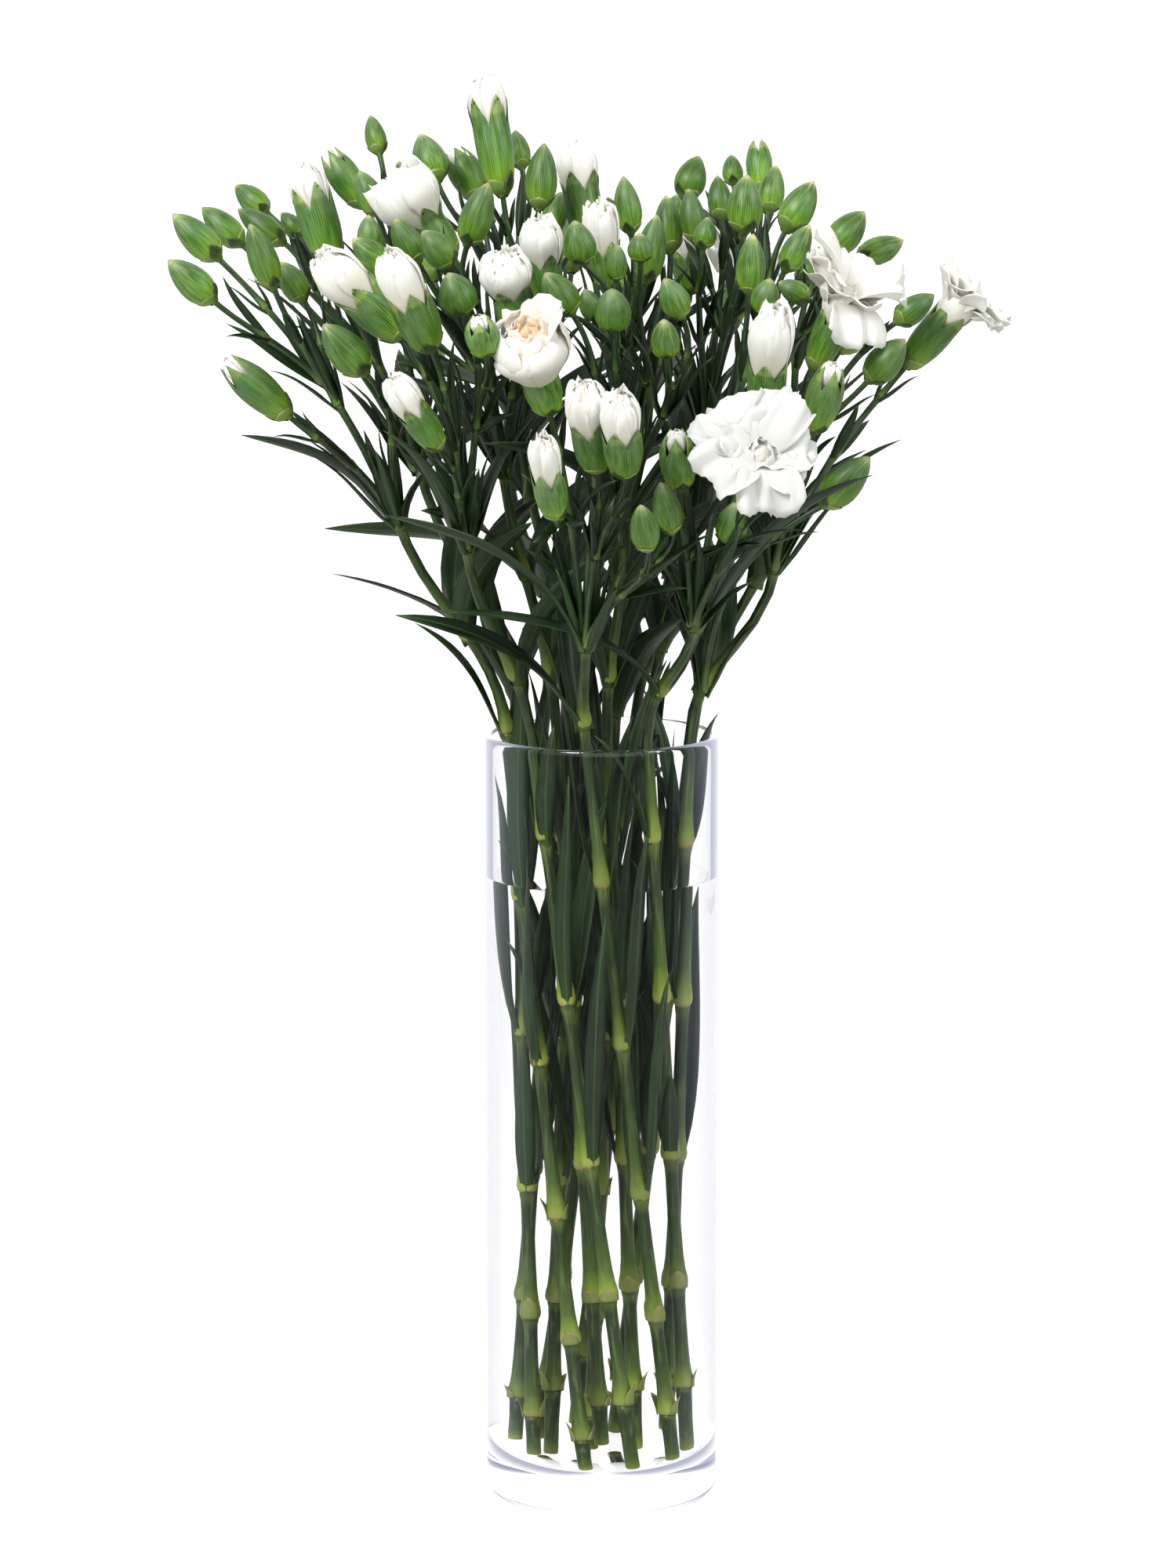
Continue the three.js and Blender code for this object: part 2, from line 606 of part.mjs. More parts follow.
// Leaves stand in opposite pairs, each pair square to the one below it. A stem's lowest pair
// points out from the bunch and in.
function growLeaves(stem) {
  let turn = Math.atan2(stem.rim.y, stem.rim.x) + LEAF.wander * (draw() - 0.5);
  for (const { point, along } of stem.joints.filter((joint) => joint.point.z > LEAF.lowest)) {
    for (const half of [0, Math.PI]) {
      const height = (point.z - LEAF.lowest) / (LEAF.highest - LEAF.lowest);
      const blade = {
        turn: turn + half,
        length: (LEAF.long + (LEAF.short - LEAF.long) * height) * (0.85 + 0.3 * draw()),
        width: LEAF.width * (0.85 + 0.3 * draw()),
        spread: LEAF.upright + LEAF.opening * height + LEAF.straying * draw(),
        twist: degrees(LEAF.twist) * (draw() - 0.5),
      };
      const found = leaf(point, along, blade, stem.owner);
      if (found) stem.leaves.push(found);
    }
    turn += Math.PI / 2;
  }
}

// ---- Solids ----

function stemSkin(stem) {
  const stations = [[0, 1]];
  let last = 0;
  for (const { at } of stem.joints) {
    const below = at - STEM.jointHalf;
    const rim = stem.low.distanceTo(stem.rim);
    if (last > rim) stations.push([(last + below) / 2, 1]);
    else if (below > rim + STEM.jointHalf) stations.push([rim, 1], [(rim + below) / 2, 1]);
    stations.push([below, 1], [at, at < stem.length ? STEM.jointSwell : STEM.crownSwell]);
    last = at;
  }
  const points = stations.map(([at]) => alongLine(stem.points, at).point);
  const shapes = stations.map(([at, swell]) => {
    const plain = STEM.radius + (STEM.crownRadius - STEM.radius) * (at / stem.length);
    return circle(plain * swell, STEM.sides);
  });
  return skin(ringsAlong(points, V(0, 1, 0), shapes));
}

function stemSolid(stem) {
  return fuse([stemSkin(stem), ...stem.twigs.map(twigSkin), ...stem.leaves.map(leafSkin)]);
}

// The glass: a thick foot with a rounded heel, thin walls and a fire-polished rim.
function vaseSolid() {
  const { height, radius, wall, floor, heel, innerHeel, sides } = VASE;
  const outline = new THREE.Path();
  outline.moveTo(0, 0);
  outline.lineTo(radius - heel, 0);
  outline.absarc(radius - heel, heel, heel, -Math.PI / 2, 0, false);
  outline.absarc(radius - wall / 2, height - wall / 2, wall / 2, 0, Math.PI, false);
  outline.absarc(radius - wall - innerHeel, floor + innerHeel, innerHeel, 0, -Math.PI / 2, true);
  outline.lineTo(0, floor);
  const points = outline.getPoints(2);
  return solid(new THREE.LatheGeometry(points, sides).rotateX(Math.PI / 2));
}

// The water fills the inside to its level and has a plain hole round each stem.
function waterSolid(stems) {
  const { radius, wall, floor, innerHeel, sides } = VASE;
  const inside = radius - wall - GAP;
  const corner = innerHeel;
  const low = floor + GAP;
  const outline = new THREE.Path();
  outline.moveTo(0, low);
  outline.lineTo(inside - corner, low);
  outline.absarc(inside - corner, low + corner, corner, -Math.PI / 2, 0, false);
  outline.lineTo(inside, WATER_LEVEL);
  outline.lineTo(0, WATER_LEVEL);
  const body = solid(new THREE.LatheGeometry(outline.getPoints(2), sides).rotateX(Math.PI / 2));
  const clear = STEM.radius * STEM.jointSwell + 2 * GAP;
  const holes = stems.map(({ rim }) => {
    const ends = [inVase(rim, low - 5), inVase(rim, WATER_LEVEL + 5)];
    return skin(ringsAlong(ends, V(0, 1, 0), [circle(clear, 8), circle(clear, 8)]));
  });
  return holes.map(solid).reduce((water, hole) => water.subtract(hole), body);
}

// ---- The vase of flowers ----

const glass = new THREE.MeshStandardMaterial({
  color: COLOUR.glass, roughness: 0.02, metalness: 0, transparent: true, opacity: 0.3,
});
const still = new THREE.MeshStandardMaterial({
  color: COLOUR.water, roughness: 0.02, metalness: 0, transparent: true, opacity: 0.3,
});
const green = new THREE.MeshStandardMaterial({ color: COLOUR.green, roughness: 0.5, metalness: 0 });
const white = new THREE.MeshStandardMaterial({ color: COLOUR.petal, roughness: 0.7, metalness: 0 });

const stems = plan();
const flowers = new THREE.Group();
flowers.add(mesh("vase", vaseSolid(), glass));
flowers.add(mesh("water", waterSolid(stems), still));
stems.forEach((stem, i) => {
  flowers.add(mesh(`stem_${String(i + 1).padStart(2, "0")}`, stemSolid(stem), green));
  for (const { head } of stem.twigs.filter((one) => one.head.name)) {
    const made = head.kind === "open" ? openBloom(head) : halfBloom(head);
    flowers.add(mesh(`bloom_${head.name}`, made, white));
  }
});

export default flowers;
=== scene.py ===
# %% [markdown]
# # A bunch of spray carnations in a glass cylinder
# The real thing is a tall clear cylinder of water holding fourteen cut stems. Each stem divides towards its
# crown into thin twigs, and every twig ends in a head: a closed green bud, or one of twenty-two that have
# opened white. Nothing here is painted on: every stalk joint, leaf, scale, tooth and petal is a shape of
# its own. A bud, a calyx, a leaf, a petal and a few more pieces are modelled by hand, and copies of them
# are bent to their places.

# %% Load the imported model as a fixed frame
import math
import bpy
import numpy as np
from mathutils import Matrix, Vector


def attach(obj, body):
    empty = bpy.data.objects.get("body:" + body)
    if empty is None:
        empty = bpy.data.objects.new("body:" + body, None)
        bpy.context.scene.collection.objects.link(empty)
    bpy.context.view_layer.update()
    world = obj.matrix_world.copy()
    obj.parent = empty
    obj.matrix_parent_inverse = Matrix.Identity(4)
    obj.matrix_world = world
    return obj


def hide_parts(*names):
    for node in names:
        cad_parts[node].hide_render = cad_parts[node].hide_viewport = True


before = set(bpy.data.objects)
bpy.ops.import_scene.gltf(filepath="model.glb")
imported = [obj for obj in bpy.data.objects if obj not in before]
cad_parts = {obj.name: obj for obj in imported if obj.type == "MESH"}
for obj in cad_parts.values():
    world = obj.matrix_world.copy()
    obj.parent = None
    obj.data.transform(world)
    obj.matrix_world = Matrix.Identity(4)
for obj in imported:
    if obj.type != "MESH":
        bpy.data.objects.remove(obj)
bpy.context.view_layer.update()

bpy.ops.object.select_all(action="DESELECT")

# %% [markdown]
# ## Where everything grows
# The finer pieces have to land where the solids are, so the bunch is laid out here by the same rule and
# from the same sizes, in millimetres. A stem is straight in the vase and bends over the rim to its crown.
# A twig leaves its joint and arrives along its bud's axis, bowing aside where something is in its way.

# %% Sizes of the vase, the stems, the twigs and the leaves, in millimetres
VASE = dict(height=300, radius=45, wall=3, floor=15, heel=6, inner_heel=9)
WATER_LEVEL = 245
GAP = 0.3
SHEAF = dict(turn=70, narrow=0.9, standing=0.6)
STEM = dict(radius=2.9, crown_radius=2.1, swell=1.55)
STEM_BEND = dict(leave=0.4, arrive=0.35)
INTERNODE = dict(
    lowest=10, stray_low=24, first=34, stray_first=8, step=11, most=64, upper=42, upper_from=260, end=0.6
)
TWIG = dict(
    radius=1.35, lead=1.15, rods=7, leave=0.42, arrive=0.3, aside=1.6, to_head=2,
    fork=0.45, fork_aside=0.7, fork_pull=1.5, clear=12, drop=38, slant=0.55, step=3, look=90,
    bows=[(0, 1), (7, 6), (14, 6), (21, 8), (28, 8)],
)
LEAF = dict(
    long=104, short=62, width=8.8, root=1.9, lowest=250, highest=410,
    upright=0.25, opening=0.4, straying=0.35, least_spread=0.12, most_spread=0.95,
    hug=(0.3, 0.1), arch=(0.12, 0.62, 0.45), twist=140, wander=0.8,
    shares=(1, 0.8, 0.6), spreads=(0, -0.2, 0.2, -0.4), asides=(0, 22, -22, 44, -44, 66, -66),
    stout=0.55, thinning=0.4 / 0.55, vary=(0.85, 0.3), step=4, look=20,
)
HEAD_RODS = dict(shares=(0.2, 0.5, 0.8, 1), open_share=0.8, lowest=4)
ROOM = 0.9
ROOT = 15
OUTWARD_LEAN = 0.3
OPEN_FLOWERS = ("front_rose", "right_front", "right_wide", "right_far", "rear_right")
FORWARD = dict(right_front=52)
UP = np.array([0.0, 0.0, 1.0])
SIDE = np.array([0.0, 1.0, 0.0])
print("vase", VASE["height"], "mm high, water to", WATER_LEVEL, "mm")

# %% The stems, their crowns and the heads on their shoots
# A head: the place of its base, its lean to the right in degrees, its length and its width. A flower's head
# also has its name, and how far its petals spread and rise over the calyx. The first head of a shoot leads,
# and the others fork from its twig.
STEMS = [
    dict(rim=(-36, -8), crown=(-76, -30, 384), foot=0, shoots=[
        [(-143, -20, 482, -45, 24, 12.4), (-143, -47, 468, -47, 23, 12.4)],
        [(-121, -47, 473, -19, 26, 11.2), (-111, -28, 467, -30, 17, 10.6)],
        [(-115, -62, 427, -47, 27, 13.6)],
        [(-86, -78, 444, -39, 25, 14.2)],
    ]),
    dict(rim=(-31, 18), crown=(-70, 30, 398), foot=4, shoots=[
        [(-104, 14, 483, -17, 22, 15.4, "left_high", 7, 12), (-116, 44, 487, -40, 12, 8)],
        [(-137, 20, 485, -47, 21, 11.2), (-122, 34, 485, -54, 22, 10.6)],
        [(-130, 62, 495, -50, 17, 10.6)],
        [(-91, 32, 499, -34, 22, 12.4), (-86, 57, 518, -14, 16, 8.4)],
        [(-85, 8, 497, -22, 18, 10.6)],
    ]),
    dict(rim=(-26, -26), crown=(-50, -56, 378), foot=0, shoots=[
        [
            (-62, -84, 453, -22, 19, 16, "left_upper", 7.6, 19),
            (-76, -68, 460, -45, 20, 16.5, "left_outer", 8.6, 19),
        ],
        [(-59, -92, 418, -32, 16, 12, "left_low", 5.8, 14)],
        [(-79, -42, 479, -47, 18, 11.2), (-86, -26, 485, -4, 14, 9.6)],
        [(-50, -64, 465, -23, 17, 14), (-42, -96, 452, -10, 14, 12.4)],
    ]),
    dict(rim=(-17, -8), crown=(-37, -22, 402), foot=8, shoots=[
        [(-56, -8, 482, -37, 15, 14, "left_wide", 12.5, 20), (-73, 6, 505, -17, 13, 7.8)],
        [(-50, -36, 488, 19, 25, 12.4), (-68, -42, 482, -27, 19, 11.2)],
        [(-55, -55, 482, -41, 17, 12.4)],
        [
            (-32, -58, 461, -10, 13, 13, "centre_left", 9.5, 15),
            (-20, -31, 467, -7, 13, 13, "centre_back", 8, 15),
        ],
    ]),
    dict(rim=(-10, 19), crown=(-31, 36, 412), foot=0, shoots=[
        [(-39, 30, 510, -10, 26, 14.4, "top", 7, 13), (-63, 36, 508, -20, 20, 13.6)],
        [(-47, 54, 501, -30, 19, 13.6), (-31, 68, 512, -11, 16, 9)],
        [(-24, 12, 499, 5, 25, 12.4), (-20, 42, 488, 15, 17, 10)],
    ]),
    dict(rim=(-6, -36), crown=(-6, -70, 343), foot=0, shoots=[
        [
            (-2, -103, 411, -9, 17, 14.4, "front_left", 7.6, 18),
            (8, -117, 411, -5, 17, 14.4, "front_right", 7, 17),
        ],
        [
            (-20, -84, 433, -15, 14, 14, "front_rose", 14, 21),
            (-17, -119, 396, -9, 17, 12, "front_low", 5, 17),
        ],
        [(16, -124, 385, -9, 22, 10.6), (25, -104, 389, -13, 23, 10.6)],
        [(-11, -68, 465, -33, 19, 13)],
    ]),
    dict(rim=(2, -15), crown=(8, -44, 388), foot=3, shoots=[
        [(-7, -50, 482, -12, 17, 12.4), (-2, -46, 461, -22, 13, 9)],
        [(4, -82, 460, -3, 17, 13.6), (5, -64, 477, 2, 14, 7.8)],
        [(2, -24, 474, -7, 13, 12, "centre_mid", 6.5, 17), (14, -52, 483, -2, 11, 9.6)],
        [(29, -73, 464, -25, 17, 11.2), (23, -92, 451, -5, 16, 10.6)],
    ]),
    dict(rim=(5, 7), crown=(8, 16, 404), foot=0, shoots=[
        [(-6, 30, 491, -8, 18, 14.4, "centre_high", 7.5, 15), (4, 56, 490, -8, 12, 8.4)],
        [(11, 4, 490, -8, 22, 10.6), (16, -17, 473, 10, 26, 11.8)],
        [(26, 22, 482, -4, 22, 11.2), (34, 44, 468, -11, 12, 11, "right_back", 5.5, 14)],
    ]),
    dict(rim=(18, 20), crown=(40, 38, 412), foot=6, shoots=[
        [(46, 35, 494, -6, 17, 9.6), (32, 53, 501, 19, 18, 12.4)],
        [(62, 66, 503, -3, 18, 10.4), (52, 79, 505, -6, 13, 8.4)],
        [(53, -8, 491, 3, 22, 13.6), (36, 14, 486, -9, 21, 10)],
        [(38, -4, 485, 9, 12, 9)],
    ]),
    dict(rim=(17, -32), crown=(34, -68, 350), foot=0, shoots=[
        [(54, -104, 404, 8, 16, 14.4, "right_front", 21.5, 16)],
        [(28, -96, 404, -5, 21, 13.6), (46, -84, 383, 7, 17, 11.8)],
        [(59, -78, 434, 4, 15, 14.4, "right_egg", 8, 24)],
        [(54, -48, 471, 3, 23, 11.2), (58, -65, 465, 13, 14, 10.6)],
    ]),
    dict(rim=(33, -15), crown=(64, -40, 368), foot=4, shoots=[
        [(78, -46, 443, 22, 18, 12.6, "right_wide", 19.5, 16), (98, -50, 439, 40, 21, 13)],
        [(117, -22, 446, 40, 20, 13.4, "right_far", 19.5, 16)],
        [(77, -78, 423, 14, 24, 13.6)],
        [(81, -62, 394, 42, 26, 13.6)],
    ]),
    dict(rim=(35, 9), crown=(70, 20, 392), foot=0, shoots=[
        [(70, 24, 490, 30, 22, 13), (64, 44, 496, 10, 19, 10.6)],
        [(69, 3, 476, 28, 20, 10.4), (77, -20, 467, -60, 13, 9)],
        [(88, 32, 482, 40, 20, 13), (99, 52, 477, 66, 20, 11.8)],
        [(112, 14, 456, 54, 18, 10.6)],
    ]),
    dict(rim=(-14, 34), crown=(-36, 72, 388), foot=5, shoots=[
        [(-68, 104, 470, -22, 18, 14, "rear_left", 8.5, 17), (-94, 88, 462, -32, 20, 12)],
        [(-46, 92, 487, -12, 20, 11.6)],
        [(-12, 102, 474, -3, 18, 14, "rear_centre", 8.5, 17), (-34, 122, 452, -8, 21, 12.6)],
        [(-66, 112, 428, -24, 22, 12.6)],
    ]),
    dict(rim=(13, 34), crown=(34, 76, 384), foot=0, shoots=[
        [(50, 112, 448, 15, 18, 13, "rear_right", 19.5, 16), (80, 98, 464, 28, 20, 12.4)],
        [(28, 98, 484, 8, 19, 11.4)],
        [(6, 126, 458, 3, 21, 12.4), (22, 128, 430, 6, 18, 11)],
        [(94, 80, 440, 40, 22, 12.8)],
    ]),
]
print(len(STEMS), "stems with", sum(len(shoot) for stem in STEMS for shoot in stem["shoots"]), "heads")


# %% Seeded numbers, directions and curves
drawn = 20241


def draw():
    """A number from 0 to 1, the same ones in the same order each time."""
    global drawn
    drawn = drawn * 16807 % 2147483647
    return drawn / 2147483647


def unit(v):
    return v / np.linalg.norm(v)


def vec(*numbers):
    return np.array(numbers, float)


def on_curve(ends, t):
    """The place at a share of a curve with four handles."""
    a, b, c, d = ends
    return (1 - t) ** 3 * a + 3 * (1 - t) ** 2 * t * b + 3 * (1 - t) * t**2 * c + t**3 * d


def bezier(ends, steps):
    """Points along a whole curve."""
    return on_curve(ends, np.linspace(0, 1, steps + 1)[:, None])


def head_of(row):
    """A head's place, axis and sizes from its row in the list above."""
    x, y, z, lean, length, width, *petals = row
    name, spread, height = petals or (None, 0, 0)
    back = -FORWARD[name] if name in FORWARD else OUTWARD_LEAN * y
    axis = unit(vec(math.tan(math.radians(lean)), math.tan(math.radians(back)), 1))
    head = dict(key=(x, y, z), base=vec(x, y, z), axis=axis, length=length, width=width)
    return head | dict(name=name, spread=spread, height=height)


def on_axis(head, height):
    return head["base"] + head["axis"] * height


print("first head's axis:", np.round(head_of(STEMS[0]["shoots"][0][0])["axis"], 3))

# %% [markdown]
# Twigs and leaves mustn't grow through one another. Every stem, twig, head and leaf is noted as a row of
# round-ended rods, and a new twig or leaf measures its air to all of them. Rods are quick to measure all at
# once, as arrays, and they never let a thin twig slip between two sample points.

# %% What takes up room
rods = []
packed = {}


def occupy(points, radii, owner, part=None):
    """Notes rods along a line of points: each one's begin, run, radius, owner and part."""
    radii = np.broadcast_to(radii, len(points))
    for begin, end, radius in zip(points, points[1:], radii[1:]):
        rods.append((begin, end - begin, radius, str(owner), str(part)))
    packed.clear()


def rod_arrays():
    """The rods as arrays, made again only after new ones came."""
    if not packed:
        packed.update(zip(("a", "run", "r", "owner", "part"), map(np.array, zip(*rods))))
        packed["square"] = (packed["run"] ** 2).sum(1)
    return packed


def near_rods(at, reach):
    """The rods that come within a reach of a place."""
    all_rods = rod_arrays()
    ends = np.linalg.norm(all_rods["a"] - at, axis=1) - np.sqrt(all_rods["square"])
    return {key: value[ends < reach] for key, value in all_rods.items()}


def glass_air(points, radii):
    """The air to the glass: the wall below the rim, and the rim's edge above it."""
    out = np.hypot(points[:, 0], points[:, 1])
    below = VASE["radius"] - VASE["wall"] - out - radii
    edge = np.hypot(VASE["radius"] - VASE["wall"] / 2 - out, points[:, 2] - VASE["height"])
    return np.where(points[:, 2] < VASE["height"], below, edge - VASE["wall"] / 2 - radii)


def air(points, radii, owner, part, among):
    """The least air round a line of balls, but for its own part, and near its root its own stem."""
    radii = np.broadcast_to(radii, len(points))
    off = points[:, None, :] - among["a"][None]
    share = np.clip((off * among["run"][None]).sum(2) / among["square"][None], 0, 1)
    apart = np.linalg.norm(off - share[..., None] * among["run"][None], axis=2)
    gaps = apart - among["r"][None] - radii[:, None]
    own = among["owner"] == str(owner)
    rooted = np.linalg.norm(points - points[0], axis=1) < ROOT
    skipped = own[None] & (rooted[:, None] | (among["part"] == str(part))[None])
    gaps = np.where(skipped, np.inf, gaps + np.where(own, ROOM - GAP, 0)[None])
    return min(gaps.min(initial=np.inf), glass_air(points, radii).min())


print("room is kept", ROOM, "mm wide round twigs and leaves")


# %% Main stems: straight in the vase, then a bend to the crown
def in_vase(place, z):
    """A stem's middle at a height below the rim: one linear map for all, so that no two meet."""
    share = 1 - z / VASE["height"]
    turn = math.radians(SHEAF["turn"])
    c = 1 - share + share * SHEAF["narrow"] * math.cos(turn)
    s = share * SHEAF["narrow"] * math.sin(turn)
    return vec(c * place[0] - s * place[1], s * place[0] + c * place[1], z)


def stem_line(stem):
    low = in_vase(stem["rim"], VASE["floor"] + SHEAF["standing"] + stem["foot"])
    rim = in_vase(stem["rim"], VASE["height"])
    crown = vec(*stem["crown"])
    reach = np.linalg.norm(crown - rim)
    lead = unit(unit(head_of(stem["shoots"][0][0])["base"] - crown) + UP)
    leaving = rim + unit(rim - low) * STEM_BEND["leave"] * reach
    bend = [rim, leaving, crown - lead * STEM_BEND["arrive"] * reach, crown]
    return dict(low=low, bend=bend)


def lengths_along(points):
    return np.concatenate([[0], np.cumsum(np.linalg.norm(np.diff(points, axis=0), axis=1))])


def along_line(points, distance):
    """The point and the direction at a distance along a line of points."""
    marks = lengths_along(points)
    i = min(int(np.searchsorted(marks, distance, side="left")), len(points) - 1)
    i = max(i, 1)
    along = unit(points[i] - points[i - 1])
    return points[i - 1] + along * min(distance - marks[i - 1], marks[i] - marks[i - 1]), along


def joint_places(length):
    """Every joint's distance from the cut end, up to the crown."""
    places = []
    at = INTERNODE["lowest"] + INTERNODE["stray_low"] * draw()
    step = INTERNODE["first"] + INTERNODE["stray_first"] * draw()
    while at < length - INTERNODE["end"] * INTERNODE["upper"]:
        places.append(at)
        at += step
        most = INTERNODE["upper"] if at > INTERNODE["upper_from"] else INTERNODE["most"]
        step = min(step + INTERNODE["step"], most)
    return places + [length]


stems = []
for number, row in enumerate(STEMS):
    node = f"stem_{number + 1:02d}"
    stem = row | dict(owner=number, node=node, twigs=[], leaves=[]) | stem_line(row)
    for head in [head_of(one) for shoot in stem["shoots"] for one in shoot]:
        middles = [on_axis(head, share * head["length"]) for share in HEAD_RODS["shares"]]
        occupy(middles, 0.5 * head["width"], number, head["key"])
        if head["name"]:
            wide = (HEAD_RODS["open_share"] if head["name"] in OPEN_FLOWERS else 1) * head["spread"]
            petals = [on_axis(head, head["length"] + h) for h in (HEAD_RODS["lowest"], head["height"])]
            occupy(petals, wide, head["name"])
    stem["points"] = np.vstack([stem["low"], bezier(stem["bend"], 12)])
    occupy(stem["points"], STEM["radius"] * STEM["swell"], number)
    stems.append(stem)
for stem in stems:
    stem["length"] = lengths_along(stem["points"])[-1]
    places = joint_places(stem["length"])
    stem["joints"] = [dict(zip(("point", "along"), along_line(stem["points"], at)), at=at) for at in places]
print("stem lengths:", [round(stem["length"]) for stem in stems])


# %% Twigs: each bows aside until it has room
def twig(start, leave, head, owner, radius):
    run = np.linalg.norm(head["base"] - start)
    chord = (head["base"] - start) / run
    right = unit(SIDE - chord * chord[1])
    front = np.cross(chord, right)
    among = near_rods((start + head["base"]) / 2, run / 2 + TWIG["look"])
    best = None
    for bow, ways in TWIG["bows"]:
        for k in range(ways):
            turn = 2 * math.pi * k / ways
            aside = right * bow * math.cos(turn) + front * bow * math.sin(turn)
            arrive = head["base"] - head["axis"] * TWIG["arrive"] * run
            ends = [start, start + leave * TWIG["leave"] * run + aside, arrive + aside, head["base"]]
            points = bezier(ends, math.ceil(run / TWIG["step"]))[1:]
            room = air(points, radius, owner, head["key"], among)
            if best is None or room > best["room"]:
                best = dict(ends=ends, head=head, radius=radius, room=room)
            if room >= ROOM:
                break
        if best["room"] >= ROOM:
            break
    occupy(bezier(best["ends"], TWIG["rods"]), radius, owner)
    return best


def root_joint(stem, head, leads):
    """The crown for the leader; for the others the highest joint far enough below the head."""
    joints = [joint for joint in stem["joints"] if joint["point"][2] > VASE["height"] + TWIG["clear"]]
    if leads:
        return joints[-1]
    fits = []
    for joint in joints:
        aside = np.hypot(*(head["base"] - joint["point"])[:2])
        if head["base"][2] - joint["point"][2] > max(TWIG["drop"], TWIG["slant"] * aside):
            fits.append(joint)
    return fits[-1] if fits else joints[0]


def grow_shoot(stem, heads, k):
    root = root_joint(stem, heads[0], k == 0)
    to_head = unit(heads[0]["base"] - root["point"])
    aside = unit(to_head - root["along"] * to_head.dot(root["along"]))
    start = root["point"] + aside * (TWIG["aside"] if k else 0)
    leave = unit(root["along"] + UP + to_head * TWIG["to_head"])
    main = twig(start, leave, heads[0], stem["owner"], TWIG["radius"] * TWIG["lead"])
    stem["twigs"].append(main | dict(leads=True))
    t = TWIG["fork"]
    a, b, c, d = main["ends"]
    fork = on_curve(main["ends"], t)
    along = unit((1 - t) ** 2 * (b - a) + 2 * (1 - t) * t * (c - b) + t**2 * (d - c))
    for head in heads[1:]:
        apart = unit(head["base"] - fork)
        aim = unit(apart * TWIG["fork_pull"] + along)
        off = unit(apart - along * apart.dot(along))
        forked = twig(fork + off * TWIG["fork_aside"], aim, head, stem["owner"], TWIG["radius"])
        stem["twigs"].append(forked | dict(leads=False))


for stem in stems:
    for k, shoot in enumerate(stem["shoots"]):
        grow_shoot(stem, [head_of(one) for one in shoot], k)
tight = [t["head"]["key"] for stem in stems for t in stem["twigs"] if t["room"] < ROOM]
print(sum(len(stem["twigs"]) for stem in stems), "twigs, without room:", tight)


# %% Leaves: each turns, rises, opens or shortens until it has room
def leaf_line(start, grow, out, spread, reach):
    """A leaf's middle line: it hugs the stem, then arches out to its tip."""
    rise = LEAF["most_spread"] * math.sqrt(1 - spread * spread)
    low, high, far = LEAF["arch"]
    return [
        start + out * LEAF["root"] - grow * LEAF["root"],
        start + grow * LEAF["hug"][0] * reach + out * LEAF["hug"][1] * reach,
        start + UP * (low + high * rise) * reach + out * far * spread * reach,
        start + UP * rise * reach + out * spread * reach,
    ]


def leaf(start, grow, blade, owner, stout=LEAF["stout"], room=ROOM):
    """A leaf where it has room, or None. stout is its rods' radius at the root, as a share of its width."""
    among = near_rods(start, blade["length"] + LEAF["look"])
    for share in LEAF["shares"]:
        for more in LEAF["spreads"]:
            spread = min(max(blade["spread"] + more, LEAF["least_spread"]), LEAF["most_spread"])
            for aside in LEAF["asides"]:
                a = blade["turn"] + math.radians(aside)
                out = vec(math.cos(a), math.sin(a), 0)
                reach = blade["length"] * share
                ends = leaf_line(start, grow, out, spread, reach)
                points = bezier(ends, math.ceil(reach / LEAF["step"]))[1:]
                taper = 1 - LEAF["thinning"] * np.arange(len(points)) / len(points)
                radii = blade["width"] * stout * taper
                if air(points, radii, owner, "leaf", among) >= room:
                    occupy(points, radii, owner)
                    return blade | dict(ends=ends, out=out, length=reach)
    return None


for stem in stems:
    turn = math.atan2(stem["rim"][1], stem["rim"][0]) + LEAF["wander"] * (draw() - 0.5)
    stem["bare"] = []
    least, more = LEAF["vary"]
    for joint in stem["joints"]:
        if joint["point"][2] <= LEAF["lowest"]:
            continue
        for half in (0, math.pi):
            height = (joint["point"][2] - LEAF["lowest"]) / (LEAF["highest"] - LEAF["lowest"])
            blade = dict(
                turn=turn + half,
                length=(LEAF["long"] + (LEAF["short"] - LEAF["long"]) * height) * (least + more * draw()),
                width=LEAF["width"] * (least + more * draw()),
                spread=LEAF["upright"] + LEAF["opening"] * height + LEAF["straying"] * draw(),
                twist=math.radians(LEAF["twist"]) * (draw() - 0.5),
            )
            found = leaf(joint["point"], joint["along"], blade, stem["owner"])
            if found:
                stem["leaves"].append(found)
            else:
                stem["bare"].append((joint, blade))
        turn += math.pi / 2
large, without = (sum(len(stem[kind]) for stem in stems) for kind in ("leaves", "bare"))
print(large, "large leaves,", without, "without room")

# %% [markdown]
# The photograph shows more leaves than the solids carry. Those in the vase lie close along the stalks, and
# some joints over the rim have a small pair. They are slimmer, so they are let through narrower gaps, and
# they draw their numbers from a generator of their own, which keeps the first leaves where they are.

# %% The leaves that hug the stalks
HUGGING = dict(
    lowest=118, long=96, short=70, width=7.6, stout=0.2, room=0.15, twist=1.6, slimmer=0.8,
    lengths=(0.75, 1.15), small=(0.6, 1), widths=(0.8, 1.2), spreads=(0.1, 0.34),
)
strays = np.random.default_rng(5)


def slim_leaf(stem, joint, blade):
    """Notes a slim leaf at a joint if it has room there."""
    found = leaf(joint["point"], joint["along"], blade, stem["owner"], HUGGING["stout"], HUGGING["room"])
    if found:
        stem["slim"].append(found)


